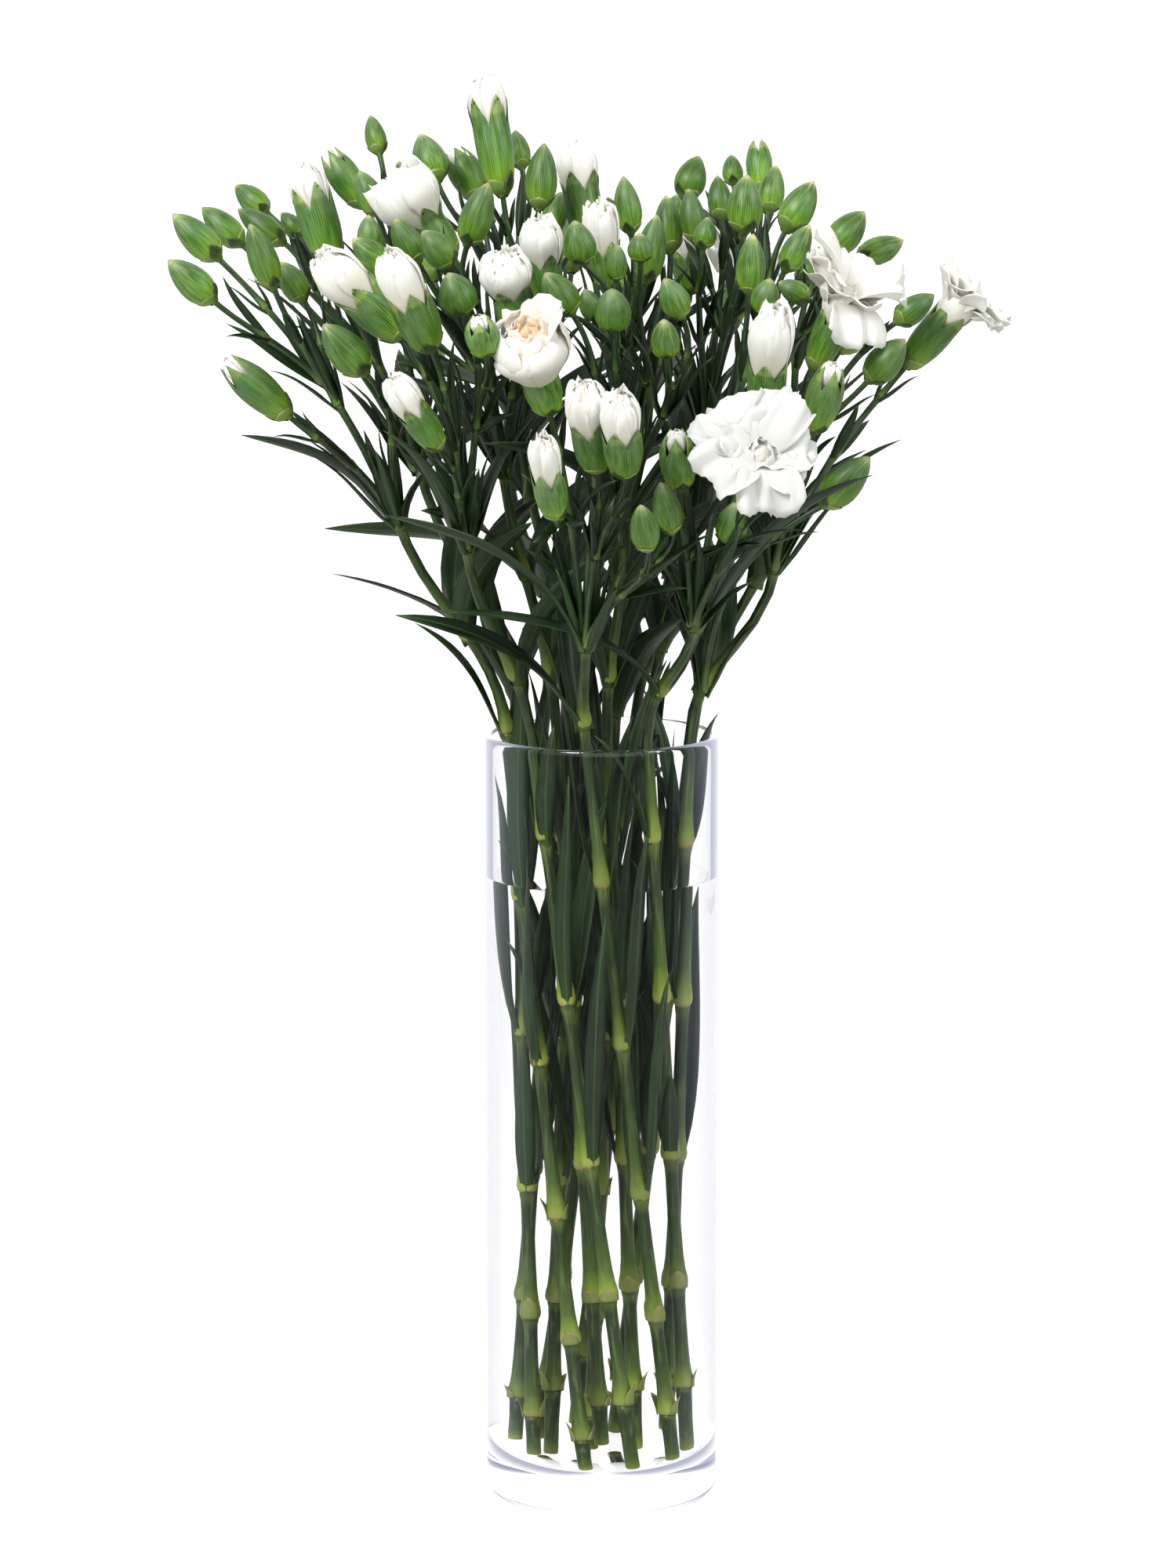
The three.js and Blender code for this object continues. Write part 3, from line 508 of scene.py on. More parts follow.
for stem in stems:
    turn = strays.uniform(0, 2 * math.pi)
    stem["slim"] = []
    for joint in stem["joints"]:
        z = joint["point"][2]
        in_glass = HUGGING["lowest"] < z <= LEAF["lowest"]
        for half in (0, math.pi) if in_glass else ():
            slim_leaf(stem, joint, dict(
                turn=turn + half,
                length=HUGGING["long"] * strays.uniform(*HUGGING["lengths"]),
                width=HUGGING["width"] * strays.uniform(*HUGGING["widths"]),
                spread=strays.uniform(*HUGGING["spreads"]),
                twist=strays.uniform(-HUGGING["twist"], HUGGING["twist"]),
            ))
        turn += math.pi / 2
    for joint, blade in stem["bare"]:
        length = HUGGING["short"] * strays.uniform(*HUGGING["small"])
        slim_leaf(stem, joint, blade | dict(length=length, width=HUGGING["slimmer"] * blade["width"]))
print(sum(len(stem["slim"]) for stem in stems), "slim leaves along the stalks")

# %% [markdown]
# ## Modelling by hand, once for each kind of piece
# A model is made from a primitive in edit mode, at a size of one: one long, and one half-width wide. Its
# corners and faces are then taken off it, and copies are bent to their places. Small helpers serve all of
# them: one starts a primitive with nothing else selected, one raises a round form ring by ring, and one
# takes the finished model's corners and the place of each on it, which its pattern will follow.

# %% Helpers for modelling by hand
MM = 0.001


def start(add, name, **settings):
    """A new primitive, in edit mode, with all of its corners and nothing else selected."""
    bpy.ops.object.select_all(action="DESELECT")
    add(**settings)
    model = bpy.context.object
    model.name = name
    bpy.ops.object.mode_set(mode="EDIT")
    bpy.ops.mesh.select_mode(type="VERT")
    bpy.ops.mesh.select_all(action="SELECT")
    return model


def raise_rings(name, outline, sides, pointed=False):
    """A round form: the first ring is filled, and each other ring is extruded from the last and resized."""
    (low, radius), *rest = outline
    model = start(bpy.ops.mesh.primitive_circle_add, name, vertices=sides, radius=radius, fill_type="NGON")
    bpy.ops.transform.translate(value=(0, 0, low))
    for high, wide in rest:
        bpy.ops.mesh.extrude_region_move(TRANSFORM_OT_translate={"value": (0, 0, high - low)})
        share = wide / radius
        bpy.ops.transform.resize(value=(share, share, 1), center_override=(0, 0, high))
        low, radius = high, wide
    if pointed:
        bpy.ops.mesh.merge(type="CENTER")
    bpy.ops.mesh.select_all(action="SELECT")
    bpy.ops.mesh.normals_make_consistent(inside=False)
    bpy.ops.object.mode_set(mode="OBJECT")
    return model


def corners_of(model):
    co = np.empty(3 * len(model.data.vertices))
    model.data.vertices.foreach_get("co", co)
    return co.reshape(-1, 3)


def round_corners(model):
    """A round model's corners, and the angle of each round its axis."""
    co = corners_of(model)
    return co, np.arctan2(co[:, 0], co[:, 1])


def set_corners(model, co):
    model.data.vertices.foreach_set("co", co.ravel())
    model.data.update()


def finish_with(model, kind, **settings):
    """Adds a modifier and applies it."""
    bpy.context.view_layer.objects.active = model
    modifier = model.modifiers.new(kind.title(), kind)
    for key, value in settings.items():
        setattr(modifier, key, value)
    bpy.ops.object.modifier_apply(modifier=modifier.name)


def take(model, round_form):
    """The model's corners, its faces and each face corner's place on it; the model itself goes."""
    co = corners_of(model)
    faces = [tuple(face.vertices) for face in model.data.polygons]
    around = np.arctan2(co[:, 0], co[:, 1]) / (2 * math.pi) % 1 if round_form else 0.5 + 0.5 * co[:, 0]
    places = []
    for face in faces:
        u = around[list(face)]
        if round_form and u.max() - u.min() > 0.5:
            u = np.where(u < 0.5, u + 1, u)
        places.append(np.column_stack([u, co[list(face), 2]]))
    name = model.name
    bpy.data.objects.remove(model)
    print(f"{name}: {len(co)} corners, {len(faces)} faces")
    return dict(co=co, faces=faces, uv=np.vstack(places))


# %% [markdown]
# ### Stalk joints
# A carnation stalk is built of joints. Just over each joint it is swollen and bright, and it thins and
# darkens upwards; under the next joint it flares a little. One length from joint to joint is raised ring by
# ring and then bent along every stem and twig, shorter or longer as it comes.

# %% One length of stalk, from joint to joint
STALK_OUTLINE = [
    (-0.012, 0.85), (0, 1.14), (0.016, 1.4), (0.045, 1.52), (0.085, 1.44), (0.14, 1.24), (0.24, 1.07),
    (0.42, 0.98), (0.62, 0.94), (0.84, 0.94), (0.94, 1.0), (0.985, 1.16), (1.0, 1.14), (1.006, 0.9),
]
stalk_length = take(raise_rings("stalk_length", STALK_OUTLINE, 12), True)
CUT_OUTLINE = [(0, 0.93), (0.03, 1), (0.5, 0.98), (0.9, 1.1), (1.0, 1.2)]
cut_length = take(raise_rings("cut_length", CUT_OUTLINE, 12), True)
twig_length = take(raise_rings("twig_length", STALK_OUTLINE[1:-1], 8), True)

# %% [markdown]
# ### Closed buds, calyces and their scales
# A closed bud is a pointed egg, widest below its middle, whose five teeth are still joined; their seams
# show as shallow grooves in its upper half. When it opens the teeth part and the same skin becomes a tube.
# Under both sit two pairs of short scales: a broad pair, and outside it a narrower one with dark tips.

# %% The closed bud
BUD_OUTLINE = [
    (0, 0.2), (0.015, 0.32), (0.045, 0.48), (0.1, 0.67), (0.18, 0.84), (0.28, 0.96), (0.38, 1.0),
    (0.48, 0.98), (0.6, 0.9), (0.71, 0.77), (0.81, 0.6), (0.89, 0.41), (0.95, 0.22), (0.985, 0.1),
    (1.0, 0.03),
]
SEAMS = dict(foot=0.35, grow=0.5, depth=0.075, sharpness=6)
bud_model = raise_rings("bud", BUD_OUTLINE, 20, pointed=True)
co, around = round_corners(bud_model)
upper = np.clip((co[:, 2] - SEAMS["foot"]) / SEAMS["grow"], 0, 1)
seam = np.abs(np.cos(2.5 * around)) ** SEAMS["sharpness"]
co[:, :2] *= (1 - SEAMS["depth"] * upper * seam)[:, None]
set_corners(bud_model, co)
bud = take(bud_model, True)

# %% The calyx of an opening flower: a tube with five pointed lobes
CALYX_OUTLINE = [
    (0, 0.2), (0.02, 0.38), (0.06, 0.54), (0.13, 0.68), (0.24, 0.82), (0.38, 0.93), (0.52, 0.99),
    (0.64, 1.0), (0.74, 1.0), (0.82, 1.0), (0.9, 1.0), (1.0, 1.0), (1.1, 1.0),
]
LOBES = dict(foot=0.64, valley=0.8, tip=1.16, sharpness=0.85, groove=0.04, bent_from=0.7, bent_over=0.5)


def calyx_model(name, closing):
    """closing draws the lobes together over the petals; a negative one lets them stand out."""
    model = raise_rings(name, CALYX_OUTLINE, 40)
    bpy.ops.object.mode_set(mode="EDIT")
    bpy.ops.mesh.select_mode(type="FACE")
    bpy.ops.mesh.select_all(action="DESELECT")
    bpy.ops.object.mode_set(mode="OBJECT")
    for face in model.data.polygons:
        face.select = face.normal.z > 0.9
    bpy.ops.object.mode_set(mode="EDIT")
    bpy.ops.mesh.delete(type="FACE")
    bpy.ops.object.mode_set(mode="OBJECT")
    co, around = round_corners(model)
    foot = LOBES["foot"]
    to_tip = 1 - np.abs((5 * around / (2 * math.pi)) % 1 - 0.5) * 2
    rim = LOBES["valley"] + (LOBES["tip"] - LOBES["valley"]) * to_tip ** LOBES["sharpness"]
    share = np.clip((co[:, 2] - foot) / (CALYX_OUTLINE[-1][0] - foot), 0, 1)
    co[:, 2] = np.where(share > 0, foot + share * (rim - foot), co[:, 2])
    bent = np.clip((co[:, 2] - LOBES["bent_from"]) / LOBES["bent_over"], 0, 1)
    draw_in = 1 - closing * bent**1.5
    groove = 1 - LOBES["groove"] * share * (1 - to_tip)
    co[:, :2] *= (draw_in * groove)[:, None]
    set_corners(model, co)
    finish_with(model, "SOLIDIFY", thickness=0.06, offset=-1)
    return take(model, True)


calyx = calyx_model("calyx", -0.02)
parted_calyx = calyx_model("parted_calyx", 0.55)


# %% [markdown]
# ### Flat pieces: scales, leaves and petals
# Each starts as a grid standing on its short edge. Its sides are drawn in to the piece's own outline, and
# it is given thickness. A scale is broad and comes to a sudden point. A leaf is long, narrow and folded
# along its keel. A petal is a fan on a narrow claw, and its outer edge is toothed.

# %% A flat piece cut to an outline
FAN = dict(rounding=0.16, foot=0.3)


def grid_piece(name, outline, columns, rows, thickness, fold=0.0, teeth=0.0):
    """x runs from edge to edge, z from root to tip, and y is through the piece."""
    cells = dict(x_subdivisions=columns, y_subdivisions=rows)
    model = start(bpy.ops.mesh.primitive_grid_add, name, size=2, **cells)
    bpy.ops.transform.rotate(value=-math.pi / 2, orient_axis="X", center_override=(0, 0, 0))
    bpy.ops.object.mode_set(mode="OBJECT")
    co = corners_of(model)
    co[:, 2] = 0.5 + 0.5 * co[:, 2] * np.sign(co[:, 2].max())
    at, wide = zip(*outline)
    width = np.interp(co[:, 2], at, wide)
    x = co[:, 0].copy()
    co[:, 0] = x * width
    co[:, 1] = fold * (1 - np.abs(x)) * width
    if teeth:
        column = np.round((x + 1) * columns / 2).astype(int)
        last = co[:, 2] > 0.999
        co[last, 2] += np.where(column[last] % 2 == 0, -teeth, teeth)
        co[:, 2] -= FAN["rounding"] * x**2 * np.clip(co[:, 2] - FAN["foot"], 0, 1)
    set_corners(model, co)
    bpy.ops.object.mode_set(mode="EDIT")
    bpy.ops.mesh.select_all(action="SELECT")
    bpy.ops.mesh.remove_doubles(threshold=0.0005)
    bpy.ops.object.mode_set(mode="OBJECT")
    finish_with(model, "SOLIDIFY", thickness=thickness, offset=0)
    return take(model, False)


SCALE_OUTLINE = [(0, 0.9), (0.25, 1.0), (0.5, 0.92), (0.7, 0.7), (0.84, 0.42), (0.93, 0.2), (1, 0.04)]
POINT_OUTLINE = [(0, 1.0), (0.3, 0.95), (0.5, 0.75), (0.65, 0.5), (0.82, 0.22), (1, 0.03)]
LEAF_OUTLINE = [
    (0, 0.62), (0.03, 0.5), (0.1, 0.6), (0.22, 0.88), (0.36, 1.0), (0.55, 0.93), (0.72, 0.72),
    (0.86, 0.42), (0.95, 0.18), (1, 0.02),
]
PETAL_OUTLINE = [(0, 0.16), (0.25, 0.24), (0.42, 0.5), (0.6, 0.8), (0.8, 0.97), (1, 1.0)]
broad_scale = grid_piece("broad_scale", SCALE_OUTLINE, 6, 7, 0.1)
point_scale = grid_piece("point_scale", POINT_OUTLINE, 4, 6, 0.12)
leaf_blade = grid_piece("leaf_blade", LEAF_OUTLINE, 4, 12, 0.08, fold=0.3)
bract = grid_piece("bract", LEAF_OUTLINE, 2, 8, 0.16, fold=0.4)
petal = grid_piece("petal", PETAL_OUTLINE, 18, 11, 0.2, teeth=0.008)

# %% The rolled heart inside a flower that has not unfolded
HEART_OUTLINE = [(0, 0.9), (0.3, 0.97), (0.55, 1.0), (0.75, 0.9), (0.88, 0.7), (0.96, 0.42), (1.0, 0.2)]
ROLL = 0.07
heart_model = raise_rings("rolled_heart", HEART_OUTLINE, 24, pointed=True)
co, around = round_corners(heart_model)
co[:, :2] *= (1 + ROLL * co[:, 2] * np.sin(3 * around + 4 * co[:, 2]))[:, None]
set_corners(heart_model, co)
rolled_heart = take(heart_model, True)

# %% [markdown]
# ## Bending copies to their places
# A line through the air carries a steady frame: along it, across it and square to both. A copy's length
# runs along the line and its sides stand across it. What belongs to a bud or a flower stands round an axis
# instead. All copies of one kind on one stem become one mesh. Each copy also gets a shade of its own, a
# number from 0 to 1 that the materials read, since no two leaves are alike.

# %% A line through the air, and a piece gathered from copies
class Line:
    """A finely sampled line with a steady frame along it."""

    def __init__(self, points, side):
        self.marks = lengths_along(points)
        self.length = self.marks[-1]
        along = np.gradient(points, axis=0)
        along /= np.linalg.norm(along, axis=1)[:, None]
        across = side - (along @ side)[:, None] * along
        across /= np.linalg.norm(across, axis=1)[:, None]
        self.rows = np.hstack([points, along, across, np.cross(along, across)])

    def at(self, distance):
        """Places, and the directions along, across and square there."""
        got = np.column_stack([np.interp(distance, self.marks, column) for column in self.rows.T])
        over = np.clip(distance - self.length, 0, None) + np.clip(distance, None, 0)
        return got[:, :3] + over[:, None] * got[:, 3:6], got[:, 3:6], got[:, 6:9], got[:, 9:]


def laid_on(model, line, begin, end, radius):
    """A round copy along part of a line. radius is a number or grows with the distance."""
    x, y, z = model["co"].T
    distance = begin + z * (end - begin)
    place, _, across, square = line.at(distance)
    r = radius(distance) if callable(radius) else radius
    return place + across * (x * r)[:, None] + square * (y * r)[:, None]


def turned(along, angle):
    """Directions straight out from an axis, at angles round it."""
    across = unit(SIDE - along * along[1])
    return np.outer(np.sin(angle), across) + np.outer(np.cos(angle), np.cross(along, across))


def round_axis(foot, along, height, angle, out):
    """Places at heights along an axis, at angles round it and at distances from it."""
    return foot + np.outer(height, along) + turned(along, angle) * out[:, None]


def shaded(model, co):
    """A copy of a model: its corners in millimetres, and a shade of its own."""
    return model, co, strays.uniform()


def stand_in(piece, node):
    """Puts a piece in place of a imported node."""
    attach(piece, "root")
    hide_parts(node)


def gather(name, copies, finish, node):
    """One piece from copies with their shades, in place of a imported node."""
    corners, faces, places, shades, base = [], [], [], [], 0
    for model, co, shade in copies:
        corners.append(co * MM)
        faces += [tuple(base + i for i in face) for face in model["faces"]]
        places.append(model["uv"])
        shades.append(np.full(len(co), shade))
        base += len(co)
    mesh = bpy.data.meshes.new(name)
    mesh.from_pydata(np.vstack(corners).tolist(), [], faces)
    mesh.uv_layers.new(name="place").data.foreach_set("uv", np.vstack(places).ravel())
    mesh.attributes.new("shade", "FLOAT", "POINT").data.foreach_set("value", np.concatenate(shades))
    mesh.polygons.foreach_set("use_smooth", [True] * len(faces))
    mesh.materials.append(finish)
    piece = bpy.data.objects.new(name, mesh)
    bpy.context.scene.collection.objects.link(piece)
    stand_in(piece, node)


def gather_green(stem, part, copies, finish):
    """A green piece of one stem, if it has any such copies."""
    if copies:
        gather(f"{stem['node']}_{part}", copies, finish, stem["node"])

# %% [markdown]
# ## Finishes
# A carnation's green parts are covered with a thin bloom of wax: they are satin, a little bluish where the
# wax is thick, and brighter where the skin is stretched over a bud or a joint. Colours are written as sRGB
# hex values and turned to linear light by one function. One small function adds a node with its settings,
# and each input is given a number, a colour or another node's output. A colour mix has its share at input
# 0, its two colours at 6 and 7, and gives output 2. A finish starts from a run of colours along the piece,
# other colours are laid over it one by one, and a shader with a fine relief closes it.

# %% Colour and node helpers
def colour(hex_value):
    """A linear colour from an sRGB hex value."""
    parts = [int(hex_value[i : i + 2], 16) / 255 for i in (1, 3, 5)]
    return [p / 12.92 if p <= 0.04045 else ((p + 0.055) / 1.055) ** 2.4 for p in parts] + [1]


def add(tree, kind, inputs={}, give=0, stops=(), **settings):
    """Adds a node with its settings, values and links, and gives one of its outputs, or all for None."""
    node = tree.nodes.new("ShaderNode" + kind)
    for key, value in settings.items():
        setattr(node, key, value)
    for socket, value in inputs.items():
        if isinstance(value, bpy.types.NodeSocket):
            tree.links.new(value, node.inputs[socket])
        else:
            node.inputs[socket].default_value = colour(value) if isinstance(value, str) else value
    for k, (share, hex_value) in enumerate(stops):
        mark = node.color_ramp.elements[k] if k < 2 else node.color_ramp.elements.new(share)
        mark.position = share
        mark.color = colour(hex_value)
    return node.outputs if give is None else node.outputs[give]


def new_finish(name):
    """A material and its empty node tree."""
    finish = bpy.data.materials.new(name)
    finish.use_nodes = True
    finish.node_tree.nodes.clear()
    return finish, finish.node_tree


def on_piece(tree):
    """A corner's place across and along its own copy, that copy's shade, and its place in the object."""
    place = add(tree, "UVMap", uv_map="place")
    u, v, _ = add(tree, "SeparateXYZ", {0: place}, None)
    shade = add(tree, "Attribute", give="Fac", attribute_name="shade")
    return u, v, shade, add(tree, "TexCoord", give="Object")


SHADE_APART = 37.0
WAX = {"IOR": 1.42, "Coat Weight": 0.12, "Coat Roughness": 0.3}


def fine_lines(tree, u, v, shade, lines, along):
    """Fine lines along a piece: noise with that many swings across it and few along it."""
    place = add(tree, "CombineXYZ", {0: u, 1: v, 2: shade})
    place = add(tree, "VectorMath", {0: place, 1: (lines, along, SHADE_APART)}, operation="MULTIPLY")
    return add(tree, "TexNoise", {"Vector": place, "Scale": 1.0, "Detail": 2.0})


def lay(tree, under, value, begin, end, most, hex_value):
    """Lays a colour over another, from nothing where a value is at begin to the most where it is at end."""
    share = add(tree, "MapRange", {0: value, 1: begin, 2: end, 3: 0.0, 4: most})
    return add(tree, "Mix", {0: share, 6: under, 7: hex_value}, 2, data_type="RGBA")


def close_finish(tree, tone, height, strength, depth, sockets):
    """The shader with its tone, a relief some millimetres deep and the finish's own sockets."""
    bump = add(tree, "Bump", {"Strength": strength, "Distance": depth * MM, "Height": height})
    shader = add(tree, "BsdfPrincipled", {"Base Color": tone, "Normal": bump} | sockets)
    add(tree, "OutputMaterial", {"Surface": shader}, None)


# %% [markdown]
# The skin of a bud is palest and yellowest low down, where it is youngest, and cream at its tip. Fine pale
# and dark lines run along it, and five pale seams show where its teeth lie wrapped over one another. The
# seams turn as they rise, because each tooth overlaps the next in the same direction.

# %% Waxy bud and calyx skin
def bud_skin(name, marks, ribs, seam_share):
    """marks run from foot to tip, ribs is how many run side by side, and seam_share how far seams show."""
    finish, tree = new_finish(name)
    u, v, shade, at = on_piece(tree)
    stripe = fine_lines(tree, u, v, shade, 30, 2.6)
    wavy = add(tree, "Math", {0: stripe, 1: 0.1, 2: v}, operation="MULTIPLY_ADD")
    body = add(tree, "ValToRGB", {0: wavy}, stops=marks)
    swing = add(tree, "Math", {0: u, 1: 2 * math.pi * ribs}, operation="MULTIPLY")
    rib = add(tree, "Math", {0: swing}, operation="SINE")
    ridge = add(tree, "Math", {0: rib, 1: 0.14, 2: stripe}, operation="MULTIPLY_ADD")
    striped = lay(tree, body, ridge, 0.46, 0.8, 0.46, "#b2d26a")
    lined = lay(tree, striped, ridge, 0.5, 0.22, 0.6, "#203a10")
    turn = add(tree, "Math", {0: u, 1: 5.0, 2: v}, operation="MULTIPLY_ADD")
    cell = add(tree, "Math", {0: turn}, operation="FRACT")
    off = add(tree, "Math", {0: cell, 1: 0.5}, operation="SUBTRACT")
    apart = add(tree, "Math", {0: off}, operation="ABSOLUTE")
    line = add(tree, "MapRange", {0: apart, 1: 0.026, 2: 0.008, 3: 0.0, 4: 1.0})
    high = add(tree, "MapRange", {0: v, 1: 0.5, 2: 0.85, 3: 0.0, 4: seam_share})
    seam = add(tree, "Math", {0: line, 1: high}, operation="MULTIPLY")
    seamed = add(tree, "Mix", {0: seam, 6: lined, 7: "#c3cf98"}, 2, data_type="RGBA")
    cloud = add(tree, "TexNoise", {"Vector": at, "Scale": 120.0, "Detail": 3.0})
    upper = add(tree, "MapRange", {0: v, 1: 0.3, 2: 0.75, 3: 0.1, 4: 0.6})
    patch = add(tree, "MapRange", {0: cloud, 1: 0.38, 2: 0.66, 3: 0.0, 4: 1.0})
    thick = add(tree, "Math", {0: patch, 1: upper}, operation="MULTIPLY")
    waxy = add(tree, "Mix", {0: thick, 6: seamed, 7: "#78976a"}, 2, data_type="RGBA")
    toned = lay(tree, waxy, shade, 0.0, 1.0, 0.5, "#2f5218")
    strong = add(tree, "Gamma", {"Color": toned, "Gamma": 1.1})
    relief = add(tree, "Math", {0: seam, 1: ridge}, operation="ADD")
    close_finish(tree, strong, relief, 0.7, 0.16, WAX | {"Roughness": 0.42})
    return finish


closed_skin = bud_skin("waxy_bud_skin", [
    (0.0, "#84a044"), (0.2, "#86ac2e"), (0.4, "#5c8c1e"), (0.64, "#3c661e"), (0.88, "#456830"),
    (0.97, "#8e9c62"), (1.04, "#d9d0a8"),
], ribs=46, seam_share=0.4)
calyx_skin = bud_skin("waxy_calyx_skin", [
    (0.0, "#8aa44a"), (0.26, "#8ab42c"), (0.46, "#5a901c"), (0.75, "#3e6e1c"), (0.96, "#4a7630"),
    (1.04, "#93ab5e"),
], ribs=50, seam_share=0.0)
print("bud skins:", closed_skin.name, calyx_skin.name)

# %% [markdown]
# The broad inner scales are green with darker lines, and paler towards their tips. The outer pair ends in a
# sudden dark point, the darkest thing on the plant. Low on the stalks, where leaves were stripped off
# before the bunch was put in water, their torn feet are left, dry and yellowish.

# %% Scales under a bud, and torn leaf feet
def scale_finish(name, marks):
    """A run of colours from foot to tip, with darker lines along it."""
    finish, tree = new_finish(name)
    u, v, shade, at = on_piece(tree)
    lines = fine_lines(tree, u, v, shade, 16, 2.0)
    wavy = add(tree, "Math", {0: lines, 1: 0.1, 2: v}, operation="MULTIPLY_ADD")
    body = add(tree, "ValToRGB", {0: wavy}, stops=marks)
    lined = lay(tree, body, lines, 0.7, 0.4, 0.35, "#56752c")
    close_finish(tree, lined, lines, 0.4, 0.1, {"Roughness": 0.45})
    return finish


broad_scale_skin = scale_finish("cream_green_scale_skin", [
    (0.0, "#73883c"), (0.35, "#769240"), (0.8, "#7f9a4a"), (1.0, "#9caf6c"),
])
point_scale_skin = scale_finish("dark_tipped_scale_skin", [
    (0.0, "#5f7a30"), (0.3, "#516c2a"), (0.48, "#2c3f18"), (0.66, "#182410"), (1.0, "#161e0e"),
])
torn_skin = scale_finish("torn_leaf_foot", [
    (0.0, "#6d7a3a"), (0.35, "#7d8446"), (0.8, "#8c8450"), (1.0, "#9a8a5c"),
])
print("scale skins:", broad_scale_skin.name, point_scale_skin.name, torn_skin.name)

# %% [markdown]
# The stalk is brightest and palest in the swelling over each joint, with a ring of dry brown sheath at its
# foot, and it is darkest and bluest under the next joint. The same run of colour serves twigs and stems.

# %% Waxy stalk and twig skin
def stalk_skin(name, marks, bluish):
    """marks run from joint to joint, and bluish is the colour that some lengths turn to."""
    finish, tree = new_finish(name)
    u, v, shade, at = on_piece(tree)
    wavy = fine_lines(tree, u, v, shade, 11, 3.0)
    place = add(tree, "Math", {0: wavy, 1: 0.08, 2: v}, operation="MULTIPLY_ADD")
    body = add(tree, "ValToRGB", {0: place}, stops=marks)
    toned = lay(tree, body, shade, 0.0, 1.0, 0.5, bluish)
    cloud = add(tree, "TexNoise", {"Vector": at, "Scale": 160.0, "Detail": 3.0})
    stained = lay(tree, toned, cloud, 0.5, 0.72, 0.35, "#4f5a2c")
    lined = lay(tree, stained, wavy, 0.52, 0.7, 0.35, "#86995f")
    strong = add(tree, "Gamma", {"Color": lined, "Gamma": 1.15})
    close_finish(tree, strong, wavy, 0.5, 0.12, WAX | {"Roughness": 0.4})
    return finish


stem_skin = stalk_skin("waxy_stem_skin", [
    (0.0, "#6e5230"), (0.045, "#a4864e"), (0.06, "#a8b260"), (0.13, "#8ca03e"), (0.28, "#536c28"),
    (0.58, "#2c4614"), (0.92, "#223812"), (1.0, "#5a6c32"),
], bluish="#223c18")
twig_skin = stalk_skin("waxy_twig_skin", [
    (0.0, "#5a5a30"), (0.05, "#7c9450"), (0.15, "#5e7c3c"), (0.32, "#3a582e"), (0.85, "#294226"),
    (1.0, "#4c683a"),
], bluish="#203028")
print("stalk skins:", stem_skin.name, twig_skin.name)

# %% [markdown]
# A leaf is pale at its foot and darkest along its middle, with a pale line on its keel and fine veins that
# all run its length.

# %% Leaf blades
leaf_skin, tree = new_finish("waxy_leaf_skin")
u, v, shade, at = on_piece(tree)
lines = fine_lines(tree, u, v, shade, 16, 5.0)
off = add(tree, "Math", {0: u, 1: 0.5}, operation="SUBTRACT")
from_keel = add(tree, "Math", {0: off}, operation="ABSOLUTE")
marks = [(0.0, "#5f7636"), (0.06, "#314c1d"), (0.2, "#1a3415"), (0.8, "#183018"), (1.0, "#2e4622")]
body = add(tree, "ValToRGB", {0: v}, stops=marks)
toned = lay(tree, body, shade, 0.3, 1.0, 0.6, "#365628")
lined = lay(tree, toned, lines, 0.45, 0.7, 0.4, "#48683c")
keeled = lay(tree, lined, from_keel, 0.045, 0.01, 0.4, "#6f8a5c")
strong = add(tree, "Gamma", {"Color": keeled, "Gamma": 1.28})
close_finish(tree, strong, lines, 0.5, 0.12, {"Roughness": 0.44, "IOR": 1.42})
print("leaf skin:", leaf_skin.name)

# %% [markdown]
# Petals are thin white tissue, greenish at the claw. Light sinks in a little and comes out again, which
# softens their folds; it sinks in only a millimetre, because light that goes further is lost inside a thin
# petal and turns it grey. Veins fan out faintly from the claw, and the heart of a flower is cream.

# %% Petals
def petal_tissue(name, heart, painted_shade_share):
    """heart is the colour of the innermost petals, and the last argument the share of a cool grey laid over
    all of them as painted shade.
    """
    finish, tree = new_finish(name)
    u, v, shade, at = on_piece(tree)
    lines = fine_lines(tree, u, v, shade, 22, 1.6)
    marks = [(0.0, "#c0c894"), (0.3, "#dfdccb"), (0.6, "#e4e4de"), (1.0, "#e6e7e4")]
    body = add(tree, "ValToRGB", {0: v}, stops=marks)
    warmed = add(tree, "Mix", {0: shade, 6: body, 7: heart}, 2, data_type="RGBA")
    veined = lay(tree, warmed, lines, 0.45, 0.7, 0.3, "#d6d5cd")
    cloud = add(tree, "TexNoise", {"Vector": at, "Scale": 70.0, "Detail": 2.0})
    tinged = lay(tree, veined, cloud, 0.55, 0.75, 0.35, "#dfd9c9")
    # Painted shade: a cool grey laid over the petals, so that petals facing the lamps show greyer.
    painted_shade_grey = add(tree, "Mix", {0: painted_shade_share, 6: tinged, 7: "#aaaeb3"}, 2, data_type="RGBA")
    relief = add(tree, "Math", {0: cloud, 1: 2.0, 2: lines}, operation="MULTIPLY_ADD")
    tissue = {"Roughness": 0.6, "IOR": 1.4, "Sheen Weight": 0.15}
    depth = {"Subsurface Weight": 0.3, "Subsurface Radius": (1.0, 0.95, 0.85), "Subsurface Scale": 1.0 * MM}
    close_finish(tree, painted_shade_grey, relief, 0.4, 0.2, tissue | depth)
    return finish


white_petal = petal_tissue("white_petal_tissue", "#e2d6bf", 0.0)
# The flower at the front right faces the lamps, so its petals get painted shade: nearly half a cool grey,
# so that they shine no brighter than the others.
painted_shade_petal = petal_tissue("painted_shade_petal_tissue", "#eadfca", 0.45)
rose_petal = petal_tissue("cream_petal_tissue", "#dcb68c", 0.0)
print("petal tissues:", white_petal.name, painted_shade_petal.name, rose_petal.name)

